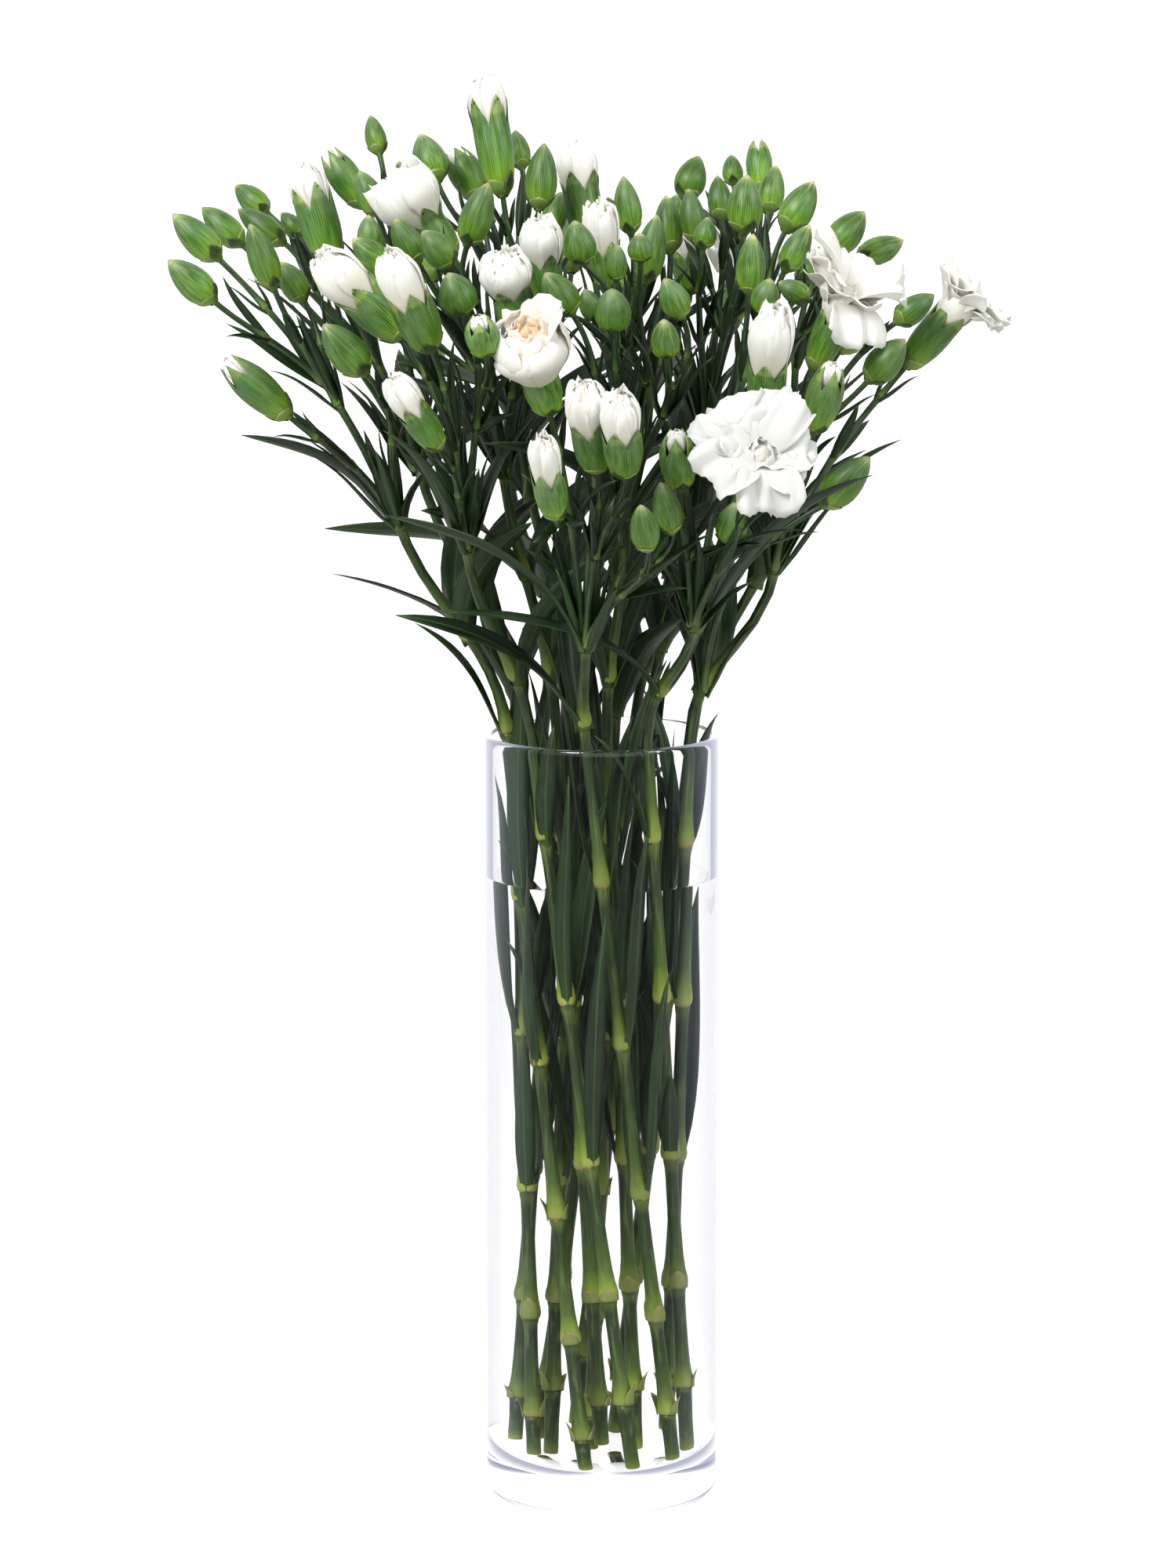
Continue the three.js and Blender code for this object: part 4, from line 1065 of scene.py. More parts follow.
# %% [markdown]
# ### Glass and water
# The vase is blown soda-lime glass, clear and a little grey at its edges. The stalks inside should be lit
# once and not twice, so both glass and water stand open for the lamps' own rays and for light that has
# bounced; only what the eye looks at is bent. A full cylinder of water would draw its stalks apart like a
# lens. These stalks are already laid out as they are seen through it, so the water bends light only a
# little.

# %% Clear glass and still water
def clear_finish(name, ior, ripple_scale, ripple_mm):
    """A clear body that bends what the eye looks at, and lets the lamps' light straight through."""
    finish, tree = new_finish(name)
    at = add(tree, "TexCoord", give="Object")
    wave = add(tree, "TexNoise", {"Vector": at, "Scale": ripple_scale, "Detail": 1.0})
    bump = add(tree, "Bump", {"Strength": 0.3, "Distance": ripple_mm * MM, "Height": wave})
    clear = {"Base Color": "#ffffff", "Roughness": 0.0, "IOR": ior, "Transmission Weight": 1.0}
    shader = add(tree, "BsdfPrincipled", clear | {"Normal": bump})
    open_way = add(tree, "BsdfTransparent", {"Color": "#ffffff"})
    rays = add(tree, "LightPath", give=None)
    either = {0: rays["Is Diffuse Ray"], 1: rays["Is Reflection Ray"]}
    bounced = add(tree, "Math", either, operation="MAXIMUM")
    way = add(tree, "Math", {0: rays["Is Shadow Ray"], 1: bounced}, operation="MAXIMUM")
    both = add(tree, "MixShader", {0: way, 1: shader, 2: open_way})
    add(tree, "OutputMaterial", {"Surface": both}, None)
    return finish


vase_glass = clear_finish("soda_lime_glass", 1.48, 18.0, 0.5)
still_water = clear_finish("still_water", 1.06, 30.0, 0.2)
print("clear finishes:", vase_glass.name, still_water.name)

# %% [markdown]
# ## The vase and its water
# A blown cylinder is a body of revolution, so its outline is drawn as a chain of points, from the middle of
# the foot round the heel, up the wall, over the fire-polished rim and down inside, and then spun. The thick
# foot has a rounded heel inside and out, which is what makes it gleam. The water follows the inside, laps a
# hair into the glass so that no film of air shows between them, and climbs a little at the wall.

# %% Spinning an outline
STEPS_ROUND = 96


def arc(middle, radius, begin, end, steps):
    """Points of an arc in the outline's plane, from one angle to another in degrees."""
    angles = np.radians(np.linspace(begin, end, steps + 1))
    return [(middle[0] + radius * math.cos(a), middle[1] + radius * math.sin(a)) for a in angles]


def spun(name, outline):
    """A body of revolution from an outline of (distance from the axis, height) in millimetres."""
    model = start(bpy.ops.mesh.primitive_circle_add, name, vertices=3, radius=0.001)
    bpy.ops.mesh.merge(type="CENTER")
    bpy.ops.transform.translate(value=(outline[0][0] * MM, 0, outline[0][1] * MM))
    for (x0, z0), (x1, z1) in zip(outline, outline[1:]):
        move = ((x1 - x0) * MM, 0, (z1 - z0) * MM)
        bpy.ops.mesh.extrude_region_move(TRANSFORM_OT_translate={"value": move})
    bpy.ops.mesh.select_all(action="SELECT")
    bpy.ops.mesh.spin(steps=STEPS_ROUND, angle=2 * math.pi, center=(0, 0, 0), axis=(0, 0, 1))
    bpy.ops.mesh.select_all(action="SELECT")
    bpy.ops.mesh.remove_doubles(threshold=0.00002)
    bpy.ops.mesh.normals_make_consistent(inside=False)
    bpy.ops.object.mode_set(mode="OBJECT")
    bpy.ops.object.shade_smooth()
    return model


def set_in(piece, node, finish):
    """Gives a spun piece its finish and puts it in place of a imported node."""
    piece.data.materials.clear()
    piece.data.materials.append(finish)
    stand_in(piece, node)
    print(f"{piece.name}: {len(piece.data.polygons)} faces, in place of {node}")


R, H, W, F = VASE["radius"], VASE["height"], VASE["wall"], VASE["floor"]
heel, inner = VASE["heel"], VASE["inner_heel"]
foot = [(0, 0.9), (24, 0.7), (33, 0.35), (35.5, 0.05), (37, 0)]
outside = arc((R - heel, heel), heel, -90, 0, 10) + [(R, z) for z in (heel + 2, 60, 140, 220, H - 8)]
rim = [(R, H - 4)] + arc((R - W / 2, H - W / 2), W / 2, 0, 180, 8) + [(R - W, H - 4)]
inside = [(R - W, z) for z in (H - 8, 220, 140, 60, F + inner + 2)]
inside += arc((R - W - inner, F + inner), inner, 0, -90, 10)
vase_outline = foot + outside + rim + inside + [(20, F - 0.2), (0, F - 0.4)]
set_in(spun("glass_vase", vase_outline), "vase", vase_glass)

LAP = 0.15
lap_r, lap_f = R - W + LAP, F - LAP
bottom = [(0, lap_f - 0.4), (20, lap_f - 0.2)] + arc((lap_r - inner, lap_f + inner), inner, -90, 0, 10)
wall = [(lap_r, z) for z in (lap_f + inner + 2, 60, 150, WATER_LEVEL - 2, WATER_LEVEL + 0.2)]
climb = [(0, 0.4), (0.3, 0.3), (1.2, 0.1), (2.6, 0), (6, 0)]
surface = [(lap_r - off, WATER_LEVEL + up) for off, up in climb] + [(20, WATER_LEVEL), (0, WATER_LEVEL)]
set_in(spun("vase_water", bottom + wall + surface), "water", still_water)

# %% [markdown]
# ## Stalks, twigs, bracts and leaves
# Every length from joint to joint is one bent copy. A twig has one or two joints of its own on the way to
# its bud. Each has a pair of small pointed bracts, and so has its foot, and each pair stands square to the
# last. Leaves clasp their stalk and turn towards their tips. Those over the rim are broader than those with
# the glass beside them. The lowest joints have only the torn feet of leaves that were stripped off.

# %% Copies along a stem, and bracts and leaves at its joints
JOINTS_ON_TWIG = dict(lead=(0, 0.45, 0.76, 1), fork=(0, 0.5, 1))
TWIG_TAPER = dict(first=0.92, less=0.1, into_bud=0.6)
BRACT = dict(low=40, high=8, vary=(0.8, 1.15), spreads=(0.2, 0.5), width=1.3, widening=0.026, off=1.3)
TORN = dict(tall=(4.5, 9), spans=(40, 75), flares=(0.6, 2.2), off=1.5, narrowing=0.3, wander=0.4)
OVER_RIM = dict(height=5, broader=1.3)
CLASP = dict(roundness=5.5, share=0.14)
CROWN_KNOB = dict(length=7, radius=1.7)
STALK_SHARE = 0.95


def bent_leaf(found):
    """A leaf along its own curve: it clasps the stalk at its foot and turns towards its tip."""
    out, twist = found["out"], found["twist"]
    over_rim = found["ends"][0][2] > H + OVER_RIM["height"]
    half = 0.5 * (found["width"] * (OVER_RIM["broader"] if over_rim else 1.0))
    line = Line(bezier(found["ends"], 20), vec(out[1], -out[0], 0.0))
    x, y, z = leaf_blade["co"].T
    place, _, across, square = line.at(z * line.length)
    clasp = (x * half) ** 2 / CLASP["roundness"] * np.clip(1 - z / CLASP["share"], 0, 1)
    sideways, through = x * half, y * half - clasp
    c, s = np.cos(twist * z), np.sin(twist * z)
    turned_across = across * (sideways * c - through * s)[:, None]
    return place + turned_across + square * (sideways * s + through * c)[:, None]


def bract_pair(point, along, turn, length, off):
    """Two small leaves on opposite sides of a joint. off is how far from its middle they start."""
    wide = BRACT["width"] + BRACT["widening"] * length
    copies = []
    for half in (0, math.pi):
        out = turned(along, np.array([turn + half]))[0]
        reach = length * strays.uniform(*BRACT["vary"])
        open_to = strays.uniform(*BRACT["spreads"])
        ends = [
            point + out * off * 0.7 - along * 1.2,
            point + out * (off + 0.12 * reach) + along * 0.3 * reach,
            point + out * (off + 0.4 * open_to * reach) + along * 0.7 * reach,
            point + out * (off + open_to * reach) + along * 0.95 * reach,
        ]
        line = Line(bezier(ends, 8), np.cross(out, along))
        x, y, z = bract["co"].T
        place, _, side, square = line.at(z * line.length)
        sideways = x * wide
        through = y * wide - sideways**2 / (2.6 * off) * np.clip(1 - z / 0.5, 0, 1)
        copies.append(shaded(bract, place + side * sideways[:, None] + square * through[:, None]))
    return copies


def stem_radius(stem):
    """A main stem's radius as a function of the distance from its cut end."""
    def at(distance):
        share = np.clip(distance / stem["length"], 0, 1)
        return STEM["radius"] * STALK_SHARE + (STEM["crown_radius"] - STEM["radius"]) * share
    return at


def stalk_copies(stem):
    """The main stem: a cut end, then length after length up to the crown."""
    line = Line(np.vstack([stem["low"], bezier(stem["bend"], 40)]), SIDE)
    marks = [0] + [joint["at"] for joint in stem["joints"]]
    thick = stem_radius(stem)
    copies = [shaded(cut_length, laid_on(cut_length, line, 0, marks[1], thick))]
    for low, high in zip(marks[1:], marks[2:]):
        copies.append(shaded(stalk_length, laid_on(stalk_length, line, low, high, thick)))
    end = marks[-1]
    knob = laid_on(stalk_length, line, end, end + CROWN_KNOB["length"], CROWN_KNOB["radius"])
    return copies + [shaded(stalk_length, knob)]


def torn_pair(joint, turn, thick):
    """The torn feet of two leaves that were stripped off a low joint."""
    x, y, z = broad_scale["co"].T
    copies = []
    for half in (0, math.pi):
        tall, span, flare = (strays.uniform(*TORN[kind]) for kind in ("tall", "spans", "flares"))
        out = TORN["off"] * thick + y + flare * z**2
        angle = turn + half + x * math.radians(span) * (1 - TORN["narrowing"] * z)
        copies.append(shaded(broad_scale, round_axis(joint["point"], joint["along"], z * tall, angle, out)))
    return copies


def twig_copies(one):
    """A twig's lengths, and the bracts at its joints."""
    line = Line(bezier(one["ends"], 24), SIDE)
    shares = JOINTS_ON_TWIG["lead" if one["leads"] else "fork"]
    marks = [np.interp(share, np.linspace(0, 1, 25), line.marks) for share in shares]
    marks[-1] += TWIG_TAPER["into_bud"]
    twigs, bracts = [], []
    turn = strays.uniform(0, math.pi)
    for k, (low, high) in enumerate(zip(marks, marks[1:])):
        r = one["radius"] * (TWIG_TAPER["first"] - TWIG_TAPER["less"] * k)
        twigs.append(shaded(twig_length, laid_on(twig_length, line, low, high, r)))
        place, along, _, _ = (part[0] for part in line.at(np.array([low])))
        size = BRACT["low"] + (BRACT["high"] - BRACT["low"]) * low / line.length
        bracts += bract_pair(place, along, turn, size, BRACT["off"] * r)
        turn += math.pi / 2
    return twigs, bracts


for stem in stems:
    gather_green(stem, "stalk", stalk_copies(stem), stem_skin)
    twigs, bracts = [], []
    for one in stem["twigs"]:
        lengths, pairs = twig_copies(one)
        twigs += lengths
        bracts += pairs
    gather_green(stem, "twigs", twigs, twig_skin)
    leaves = [shaded(leaf_blade, bent_leaf(found)) for found in stem["leaves"] + stem["slim"]]
    gather_green(stem, "leaves", leaves + bracts, leaf_skin)
    torn = []
    for k, joint in enumerate(stem["joints"]):
        if joint["point"][2] < HUGGING["lowest"]:
            turn = k * math.pi / 2 + strays.uniform(-TORN["wander"], TORN["wander"])
            torn += torn_pair(joint, turn, stem_radius(stem)(joint["at"]))
    gather_green(stem, "torn_leaf_feet", torn, torn_skin)
print("stalks, twigs and leaves on", len(stems), "stems")

# %% [markdown]
# ## Buds and calyces
# A bud copy stands on its twig's end along its axis, turned by a chance angle. Its scales are laid on its
# own outline, a hair proud of it: two broad pale ones, and outside them two narrow ones with dark points.
# Heads that are opening get the calyx with its lobes instead, and the petals push the lobes out.

# %% Standing copies on a head
OPENING = [
    (-115, -62, 427), (-91, 32, 499), (-42, -96, 452), (77, -78, 423), (28, -96, 404), (62, 66, 503),
    (-47, 54, 501),
]
RAISED = [
    "left_upper", "left_low", "left_wide", "centre_back", "front_left", "front_right", "front_low",
    "right_wide",
]
LONGER = 0.26
CALYX = dict(widened_from=0.75, wall=0.95)
BROAD = dict(high=1, span=80, proud=0.1)
POINTED = dict(high=1.25, span=44, proud=0.3)
SCALE = dict(heights=(0.2, 0.26), sunk=0.03, thick=1.5, tip_free=0.25)


def grown(head):
    """A flower's head with a longer calyx: its base is lower or, for the raised ones, its top is higher."""
    if not head["name"]:
        return head
    more = LONGER * head["length"]
    base = head["base"] - (0 if head["name"] in RAISED else more) * head["axis"]
    return head | dict(base=base, length=head["length"] + more)


def on_head(model, head, turn, least=None):
    """A round copy standing on a head's base. least(height) is how wide its upper part is at least."""
    x, y, z = model["co"].T
    out = np.hypot(x, y) * 0.5 * head["width"]
    if least:
        widened = np.maximum(out, least((z - 1) * head["length"]))
        out = np.where(z > CALYX["widened_from"], widened, out)
    return round_axis(head["base"], head["axis"], z * head["length"], np.arctan2(x, y) + turn, out)


def scale_on(model, head, outline, turn, high, kind):
    """A scale laid on a head's own outline, with its tip a little free."""
    x, y, z = model["co"].T
    h = z * kind["high"] * high - SCALE["sunk"]
    at, wide = zip(*outline)
    skin = np.interp(h, at, wide) * 0.5 * head["width"]
    out = skin + kind["proud"] + SCALE["thick"] * y + SCALE["tip_free"] * z**3
    angle = turn + x * math.radians(kind["span"])
    return round_axis(head["base"], head["axis"], h * head["length"], angle, out)


# %% How petals stand in a flower that is still furled
TOPS = dict(left_wide=0.8, centre_left=0.55, centre_back=0.55, centre_mid=0.7, front_rose=0.72)
COMMON_TOP = 0.42
EGG = dict(sunk=0.3, foot=0.37, widest_at=0.6, swelling=1.5, closing=2.2)


def bowed(head, top):
    """The outer face of the petals: a curve of (height over the calyx's mouth, radius) in millimetres."""
    low, high = -EGG["sunk"] * head["length"], head["height"]
    foot, most = EGG["foot"] * head["width"], EGG["widest_at"]
    widest = max(head["spread"], 1.2 * foot)
    share = np.linspace(0, 1, 25)
    swell = np.sin(0.5 * math.pi * np.clip(share / most, 0, 1)) ** EGG["swelling"]
    closed = np.clip((share - most) / (1 - most), 0, 1) ** EGG["closing"]
    radius = foot + (widest - foot) * swell - (1 - top) * widest * closed
    return np.column_stack([low + share * (high - low), radius])


def furled_faces(head, top):
    """least(height) for a calyx whose lobes lie on these petals."""
    curve = bowed(head, top)

    def least(height):
        return np.interp(height, curve[:, 0], curve[:, 1], left=0.0) + CALYX["wall"]
    return least


# %% Buds, calyces and scales on every stem
for stem in stems:
    closed, opened, broad, pointed = [], [], [], []
    for head in [grown(one["head"]) for one in stem["twigs"]]:
        turn = strays.uniform(0, 2 * math.pi)
        parting = head["name"] or head["key"] in OPENING
        if head["name"]:
            top = TOPS.get(head["name"], COMMON_TOP)
            furled = None if head["name"] in OPEN_FLOWERS else furled_faces(head, top)
            opened.append(shaded(calyx, on_head(calyx, head, turn, furled)))
        elif parting:
            opened.append(shaded(parted_calyx, on_head(parted_calyx, head, turn)))
        else:
            closed.append(shaded(bud, on_head(bud, head, turn)))
        outline = CALYX_OUTLINE if parting else BUD_OUTLINE
        for side in (turn, turn + math.pi):
            high = strays.uniform(*SCALE["heights"])
            broad.append(shaded(broad_scale, scale_on(broad_scale, head, outline, side, high, BROAD)))
            side += math.pi / 2
            pointed.append(shaded(point_scale, scale_on(point_scale, head, outline, side, high, POINTED)))
    gather_green(stem, "buds", closed, closed_skin)
    gather_green(stem, "calyces", opened, calyx_skin)
    gather_green(stem, "broad_scales", broad, broad_scale_skin)
    gather_green(stem, "point_scales", pointed, point_scale_skin)
print("buds and calyces on", len(stems), "stems")

# %% [markdown]
# ## Flowers
# A carnation opens in stages. At first its petals stand furled in an egg, each wrapped over the next, and
# only their edges show. Then they fold outwards tier by tier on their narrow claws, their broad fans ruffle
# and their rims curl, and a small furled heart is left in the middle. Both stages use the same petal: one
# wraps it round the axis and the other folds it out. In a bud that is just opening, only the tips show.

# %% Petals wrapped round the axis
WRAP = dict(narrower=0.2, closer=0.4, corners=0.12, overlap=0.5)
ROUNDS = ((5, 62), (4, 66), (3, 70))
TALL = dict(vary=(0.86, 1.04), inner=0.02)
SHADES = dict(vary=0.1, warm=0.5, heart=4)


def wrapped_petal(head, turn, inner, span, top, ruffle, tall):
    """inner is 0 for the outermost petals and grows towards the heart, and span is half its angle."""
    x, y, z = petal["co"].T
    at, wide = zip(*PETAL_OUTLINE)
    full = x / np.interp(z, at, wide)
    curve = bowed(head, top)
    share = np.linspace(0, 1, len(curve))
    h = np.interp(z, share, curve[:, 0]) + np.clip(z - 1, 0, None) * head["height"]
    r = np.interp(z, share, curve[:, 1]) * (1 - WRAP["narrower"] * inner) - WRAP["closer"] * inner
    corners = WRAP["corners"] * head["height"] * full**2 * np.clip(z - 0.4, 0, 1)
    h = h * (1 + (tall - 1) * z) - corners
    phase = strays.uniform(0, 6)
    wave = ruffle * np.clip(z, 0, 1.1) ** 4
    folds = np.sin(4.5 * full + phase) + 0.5 * np.sin(11 * full + 2 * phase)
    out = r + y + WRAP["overlap"] * full * (0.3 + 0.7 * z) + (0.8 * wave + 0.3 * z) * folds
    h = h + wave * (0.7 * np.cos(5 * full + phase) + 0.35 * np.cos(13 * full))
    angle = turn + full * math.radians(span)
    return round_axis(on_axis(head, head["length"]), head["axis"], h, angle, out)


def furled_heart(head, top, core):
    """The rolled heart inside a furled flower, of the core's height and width as shares of the flower's."""
    x, y, z = rolled_heart["co"].T
    low, high = -EGG["sunk"] * head["length"], core[0] * head["height"]
    at, wide = bowed(head, top).T
    h = low + z * (high - low)
    angle = np.arctan2(x, y)
    narrow = np.interp(z, [0, 0.8, 0.95, 1], [1, 0.95, 0.6, 0.0])
    out = np.interp(h, at, wide) * core[1] * narrow * (1 + 0.06 * np.sin(3 * angle))
    return round_axis(on_axis(head, head["length"]), head["axis"], h, angle, out)


def furled_flower(head, top, ruffle, rounds=ROUNDS, warmth=0.12, dip=0.05, core=(0.94, 0.76)):
    """Rounds of (petals, span) from the outside in, over a rolled heart. dip lowers those at the front."""
    copies = []
    for row, (count, span) in enumerate(rounds):
        for k in range(count):
            turn = 2 * math.pi * (k + 0.4 * row) / count + strays.uniform(-0.12, 0.12)
            dipped = dip * (1 - 0.25 * row) * max(0, -math.sin(turn))
            tall = strays.uniform(*TALL["vary"]) + TALL["inner"] * row - dipped
            copy = wrapped_petal(head, turn, row, span, top, ruffle, tall)
            shade = SHADES["vary"] * strays.uniform() + SHADES["warm"] * warmth * row**2
            copies.append((petal, copy, shade))
    return copies + [(rolled_heart, furled_heart(head, top, core), SHADES["heart"] * warmth)]


# %% Petals folded out
FOLD = dict(out=1.4, sunk=3.5, rim_curl=0.5, flat_tilt=60, shade=0.4, ruffle=(0.06, 0.025), cup=0.11)


def folded_petal(head, turn, tilt, reach, wide, ruffle, cup):
    """A petal that leaves the calyx upright and folds out to a tilt from the axis, in degrees."""
    along = head["axis"]
    x, y, z = petal["co"].T
    steps = np.linspace(0, 1.1, 45)
    bent = np.clip((steps - 0.1) / 0.6, 0, 1)
    curl = FOLD["rim_curl"] * np.clip(steps / 0.3 - 2.4, 0, 1)
    angle = math.radians(tilt) * bent**2 * (3 - 2 * bent) + curl
    step = reach * (steps[1] - steps[0])
    out = FOLD["out"] + np.concatenate([[0], np.cumsum(np.sin(angle[1:]) * step)])
    high = np.concatenate([[0], np.cumsum(np.cos(angle[1:]) * step)]) - FOLD["sunk"]
    t = np.interp(z, steps, angle)
    radial = turned(along, np.array([turn]))[0]
    aside = np.cross(along, radial)
    phase = strays.uniform(0, 6)
    wave = ruffle * np.clip(z, 0, 1.1) ** 2.2 * np.sin(3.6 * x + phase) + cup * x**2 * z
    small_waves = np.sin(8 * x + 2 * phase) + 0.4 * np.sin(13 * x + phase)
    wave = wave + ruffle * np.clip(z - 0.4, 0, 1) * small_waves
    z = z * (1 + 0.05 * np.sin(5 * x + 3 * phase) * z)
    upper = np.outer(np.sin(t), along) - np.outer(np.cos(t), radial)
    flat = np.outer(np.interp(z, steps, high), along) + np.outer(np.interp(z, steps, out), radial)
    sideways = np.outer(x * 0.5 * wide * (1 - 0.05 * np.cos(9 * x + phase) * z), aside)
    return on_axis(head, head["length"]) + flat + sideways + upper * (wave - y)[:, None]


def open_flower(head, petals):
    """petals: each one's side and tilt in degrees, and its reach and width as shares of the spread."""
    copies = []
    for k, (turn, tilt, reach, wide) in enumerate(petals):
        upright = max(0, 1 - tilt / FOLD["flat_tilt"])
        long, broad = head["spread"] * reach, head["spread"] * wide
        least, more = FOLD["ruffle"]
        ruffle = long * (least + more * (k % 3))
        copy = folded_petal(head, math.radians(turn), tilt, long, broad, ruffle, FOLD["cup"] * long)
        copies.append((petal, copy, SHADES["vary"] * strays.uniform() + FOLD["shade"] * upright))
    return copies


# %% The twenty-two flowers
HEART = [(20, 36, 0.85, 1.15), (140, 40, 0.85, 1.15), (260, 38, 0.8, 1.15)]
OPEN_PETALS = dict(
    right_front=[
        (62, 70, 1.5, 1.75), (114, 64, 1.6, 1.05), (200, 80, 1.2, 1.25), (160, 62, 1.2, 1.2),
        (318, 88, 1.65, 1.2), (256, 100, 1.65, 1.2), (10, 92, 1.7, 0.9), (40, 46, 1.1, 1.3),
    ],
    right_wide=[
        (0, 44, 1.85, 1.4), (45, 54, 1.5, 1.5), (95, 40, 1.5, 1.7), (140, 48, 1.5, 1.6),
        (180, 68, 1.65, 1.6), (238, 140, 1.5, 1.4), (285, 62, 1.25, 1.7), (325, 48, 1.4, 1.5),
    ],
    right_far=[
        (0, 58, 1.3, 1.2), (180, 84, 1.2, 1.3), (215, 72, 1.25, 1.4), (145, 70, 1.25, 1.4),
        (268, 58, 1.15, 1.5), (92, 56, 1.15, 1.5), (318, 46, 1.1, 1.4), (42, 46, 1.1, 1.4),
    ],
)
OPEN_PETALS["rear_right"] = [
    (turn, tilt, 0.8 * reach, 0.8 * wide) for turn, tilt, reach, wide in OPEN_PETALS["right_wide"]
]
RUFFLES = dict(left_wide=2.0, centre_left=1.6, centre_mid=1.4)
COMMON_RUFFLE = 1.1
# right_front takes the petals with painted shade.
TISSUES = dict(front_rose=rose_petal, right_front=painted_shade_petal)


def flower(head):
    """Every petal of a flower: an open one, the rose at the front, or a furled one."""
    name, top = head["name"], TOPS.get(head["name"], COMMON_TOP)
    if name in OPEN_PETALS:
        small = dict(width=0.6 * head["width"], spread=0.36 * head["spread"], height=0.6 * head["spread"])
        opened = open_flower(head, OPEN_PETALS[name] + HEART)
        rounds = ((3, 80), (3, 90))
        return opened + furled_flower(head | small, 0.5, 0.7, rounds, warmth=0.2, core=(0.9, 0.8))
    if name == "front_rose":
        rounds = ((5, 60), (5, 60), (4, 66), (3, 70))
        rose = furled_flower(head, top, 1.0, rounds, warmth=0.22, dip=0.26, core=(0.88, 0.62))
        return rose + open_flower(head, [(165, 40, 2.2, 1.7), (120, 24, 2.1, 1.6)])
    return furled_flower(head, top, RUFFLES.get(name, COMMON_RUFFLE))


flower_heads = [grown(one["head"]) for stem in stems for one in stem["twigs"] if one["head"]["name"]]
for head in flower_heads:
    name = head["name"]
    gather(f"petals_{name}", flower(head), TISSUES.get(name, white_petal), f"bloom_{name}")
print("petals of", len(flower_heads), "flowers")

# %% The tips of petals in buds that are just opening
for stem in stems:
    tips = []
    for head in [one["head"] for one in stem["twigs"] if one["head"]["key"] in OPENING]:
        slim = dict(width=0.6 * head["width"], spread=0.2 * head["width"], height=0.2 * head["length"])
        tips += furled_flower(head | slim, 0.3, 0.2, ((4, 60),), core=(0.88, 0.85))
    gather_green(stem, "petal_tips", tips, white_petal)
print("petal tips in", len(OPENING), "opening buds")

# %% [markdown]
# ## The stand, the light and the camera
# The photograph is taken with a long lens, from a little over the flowers. They stand on pale paper before
# a white backdrop, lit by two large soft lamps in a dim room. Thick glass bends the eye's way to the sides
# of the room, which are grey there, and that draws the grey shapes in its foot and edges. What glass
# mirrors of the paper's near half is nearly black. What the eye sees of paper and room, and what light they
# give, are kept apart: light as strong as their looks would wash the shadows out of the leaves.

# %% What the eye sees, directly or through the glass
# Painted reflection and refraction: only the eye sees these tones, in paper and room and by way of the
# glass. In the glass they draw the grey and lavender shapes in the vase's foot and its dark edges. They
# give no light.
SEEN_TONES = [
    (0.0, "#101216"), (0.3, "#181a1e"), (0.5, "#84869a"), (0.8, "#b0b2c2"), (0.96, "#ffffff"),
]
MANY_CROSSINGS = 4.5
PAPER_GLOW = 1.18
ROOM_GLOW = dict(unseen=1.15, more_if_seen=0.15)


def seen(tree, place, border, near_is_dark):
    """How far back a place or direction lies, whether the eye looks there, and the tone it sees.

    The tone is white straight on, or through many faces of glass and water. Otherwise it is greyer to the
    sides, and where near_is_dark, what glass mirrors of the near half is nearly black. The near half begins
    border metres before the middle.
    """
    moved = add(tree, "VectorMath", {0: place, 1: (0, border, 0)}, operation="ADD")
    level = add(tree, "VectorMath", {0: moved, 1: (1, 1, 0)}, operation="MULTIPLY")
    way = add(tree, "VectorMath", {0: level}, operation="NORMALIZE")
    _, y, _ = add(tree, "SeparateXYZ", {0: way}, None)
    rays = add(tree, "LightPath", give=None)
    bent = {0: rays["Is Transmission Ray"], 1: rays["Is Singular Ray"]}
    clear = add(tree, "Math", bent, operation="MAXIMUM")
    direct = add(tree, "Math", {0: rays["Is Camera Ray"], 1: clear}, operation="MAXIMUM")
    dull = add(tree, "Math", {0: rays["Diffuse Depth"], 1: 0.5}, operation="LESS_THAN")
    looked = add(tree, "Math", {0: direct, 1: dull}, operation="MULTIPLY")
    mirrored = add(tree, "Math", {0: rays["Glossy Depth"], 1: 0.5}, operation="GREATER_THAN")
    either = add(tree, "Math", {0: y}, operation="ABSOLUTE")
    turned_to = add(tree, "Mix", {0: mirrored, 2: either, 3: y if near_is_dark else either})
    share = add(tree, "Math", {0: turned_to, 1: 0.5, 2: 0.5}, operation="MULTIPLY_ADD")
    crossings = rays["Transmission Depth"]
    through = add(tree, "Math", {0: crossings, 1: MANY_CROSSINGS}, operation="GREATER_THAN")
    straight = add(tree, "Math", {0: through, 1: mirrored}, operation="SUBTRACT")
    plain = add(tree, "Math", {0: rays["Is Camera Ray"], 1: straight}, operation="MAXIMUM")
    toned = add(tree, "Math", {0: share, 1: plain}, operation="MAXIMUM")
    back = add(tree, "Math", {0: y, 1: 0.5, 2: 0.5}, operation="MULTIPLY_ADD")
    return back, looked, add(tree, "ValToRGB", {0: toned}, stops=SEEN_TONES)


bpy.ops.object.select_all(action="DESELECT")
bpy.ops.mesh.primitive_plane_add(size=30, location=(0, 0, -0.0002))
paper = bpy.context.object
paper.name = "pale_paper"
paper_finish, tree = new_finish("pale_paper_finish")
place = add(tree, "TexCoord", give="Object")
_, looked, tone = seen(tree, place, 0.05, True)
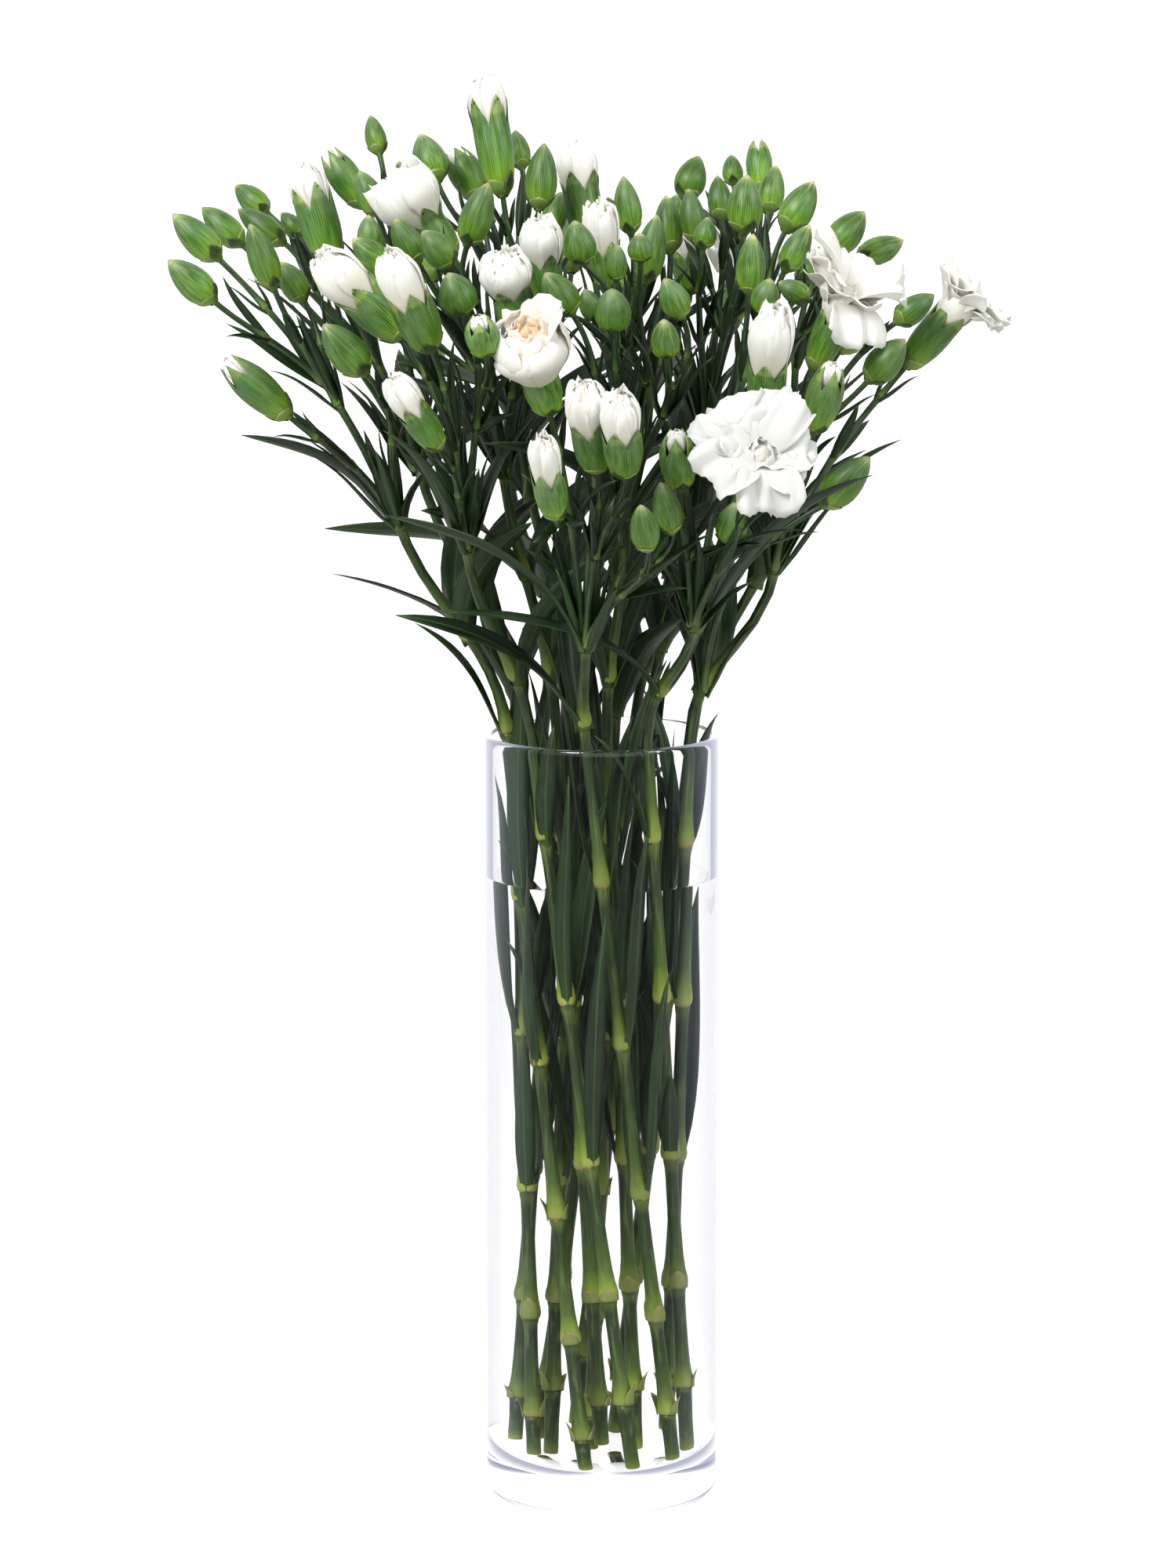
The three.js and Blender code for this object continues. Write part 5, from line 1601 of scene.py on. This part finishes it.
# Painted glow: where the eye looks at the paper, directly or by way of glass, its colour is black and it
# glows with the seen tone, white straight on. What glass mirrors of its near half is a painted dark
# reflection. Light that bounces off the paper meets only its pale colour and no glow.
dim = add(tree, "Mix", {0: looked, 6: "#c4c3be", 7: "#000000"}, 2, data_type="RGBA")
bright = add(tree, "Math", {0: looked, 1: PAPER_GLOW}, operation="MULTIPLY")
paint = {"Base Color": dim, "Roughness": 0.9, "Emission Color": tone, "Emission Strength": bright}
shader = add(tree, "BsdfPrincipled", paint)
add(tree, "OutputMaterial", {"Surface": shader}, None)
paper.data.materials.append(paper_finish)

# %% The room: a white backdrop and dim sides
scene = bpy.context.scene
room = bpy.data.worlds.new("dim_room_with_white_backdrop")
scene.world = room
room.use_nodes = True
tree = room.node_tree
tree.nodes.clear()
share, looked, tone = seen(tree, add(tree, "TexCoord", give="Generated"), 0.0, False)
marks = [(0.0, "#e6e5df"), (0.5, "#a6a7a4"), (0.72, "#b8b8b6"), (0.9, "#ffffff")]
lights = add(tree, "ValToRGB", {0: share}, stops=marks)
# The room shows the eye its painted tones, and lights the flowers with the plain marks above.
shown = add(tree, "Mix", {0: looked, 6: lights, 7: tone}, 2, data_type="RGBA")
glow = {0: looked, 1: ROOM_GLOW["more_if_seen"], 2: ROOM_GLOW["unseen"]}
strength = add(tree, "Math", glow, operation="MULTIPLY_ADD")
back = add(tree, "Background", {"Color": shown, "Strength": strength})
add(tree, "OutputWorld", {"Surface": back}, None)


# %% Two soft lamps and the camera
LAMPS = dict(
    left_lamp=dict(place=(-0.9, -1.3, 1.6), size=(0.6, 0.8), watts=36),
    right_lamp=dict(place=(1.3, -0.8, 1.2), size=(0.5, 0.8), watts=11),
)
FLOWERS_MIDDLE = (0, 0, 0.36)
LENS = dict(focal=115.2, sensor=36, place=(-0.0053, -1.900, 0.5913), down=9.3)


def soft_lamp(name, place, size, watts):
    """A rectangular lamp that faces the flowers."""
    light = bpy.data.lights.new(name, "AREA")
    light.shape = "RECTANGLE"
    light.size, light.size_y = size
    light.energy = watts
    holder = bpy.data.objects.new(name, light)
    holder.location = place
    way = Vector(FLOWERS_MIDDLE) - Vector(place)
    holder.rotation_euler = way.to_track_quat("-Z", "Y").to_euler()
    scene.collection.objects.link(holder)


for name, lamp in LAMPS.items():
    soft_lamp(name, **lamp)

eye = bpy.data.cameras.new("long_lens")
eye.sensor_fit = "VERTICAL"
eye.sensor_height = LENS["sensor"]
eye.lens = LENS["focal"]
camera = bpy.data.objects.new("camera", eye)
camera.location = LENS["place"]
camera.rotation_euler = (math.radians(90 - LENS["down"]), 0, 0)
scene.collection.objects.link(camera)
scene.camera = camera
scene.view_settings.view_transform = "Standard"
scene.view_settings.look = "None"
print("camera at", tuple(round(c, 3) for c in camera.location))
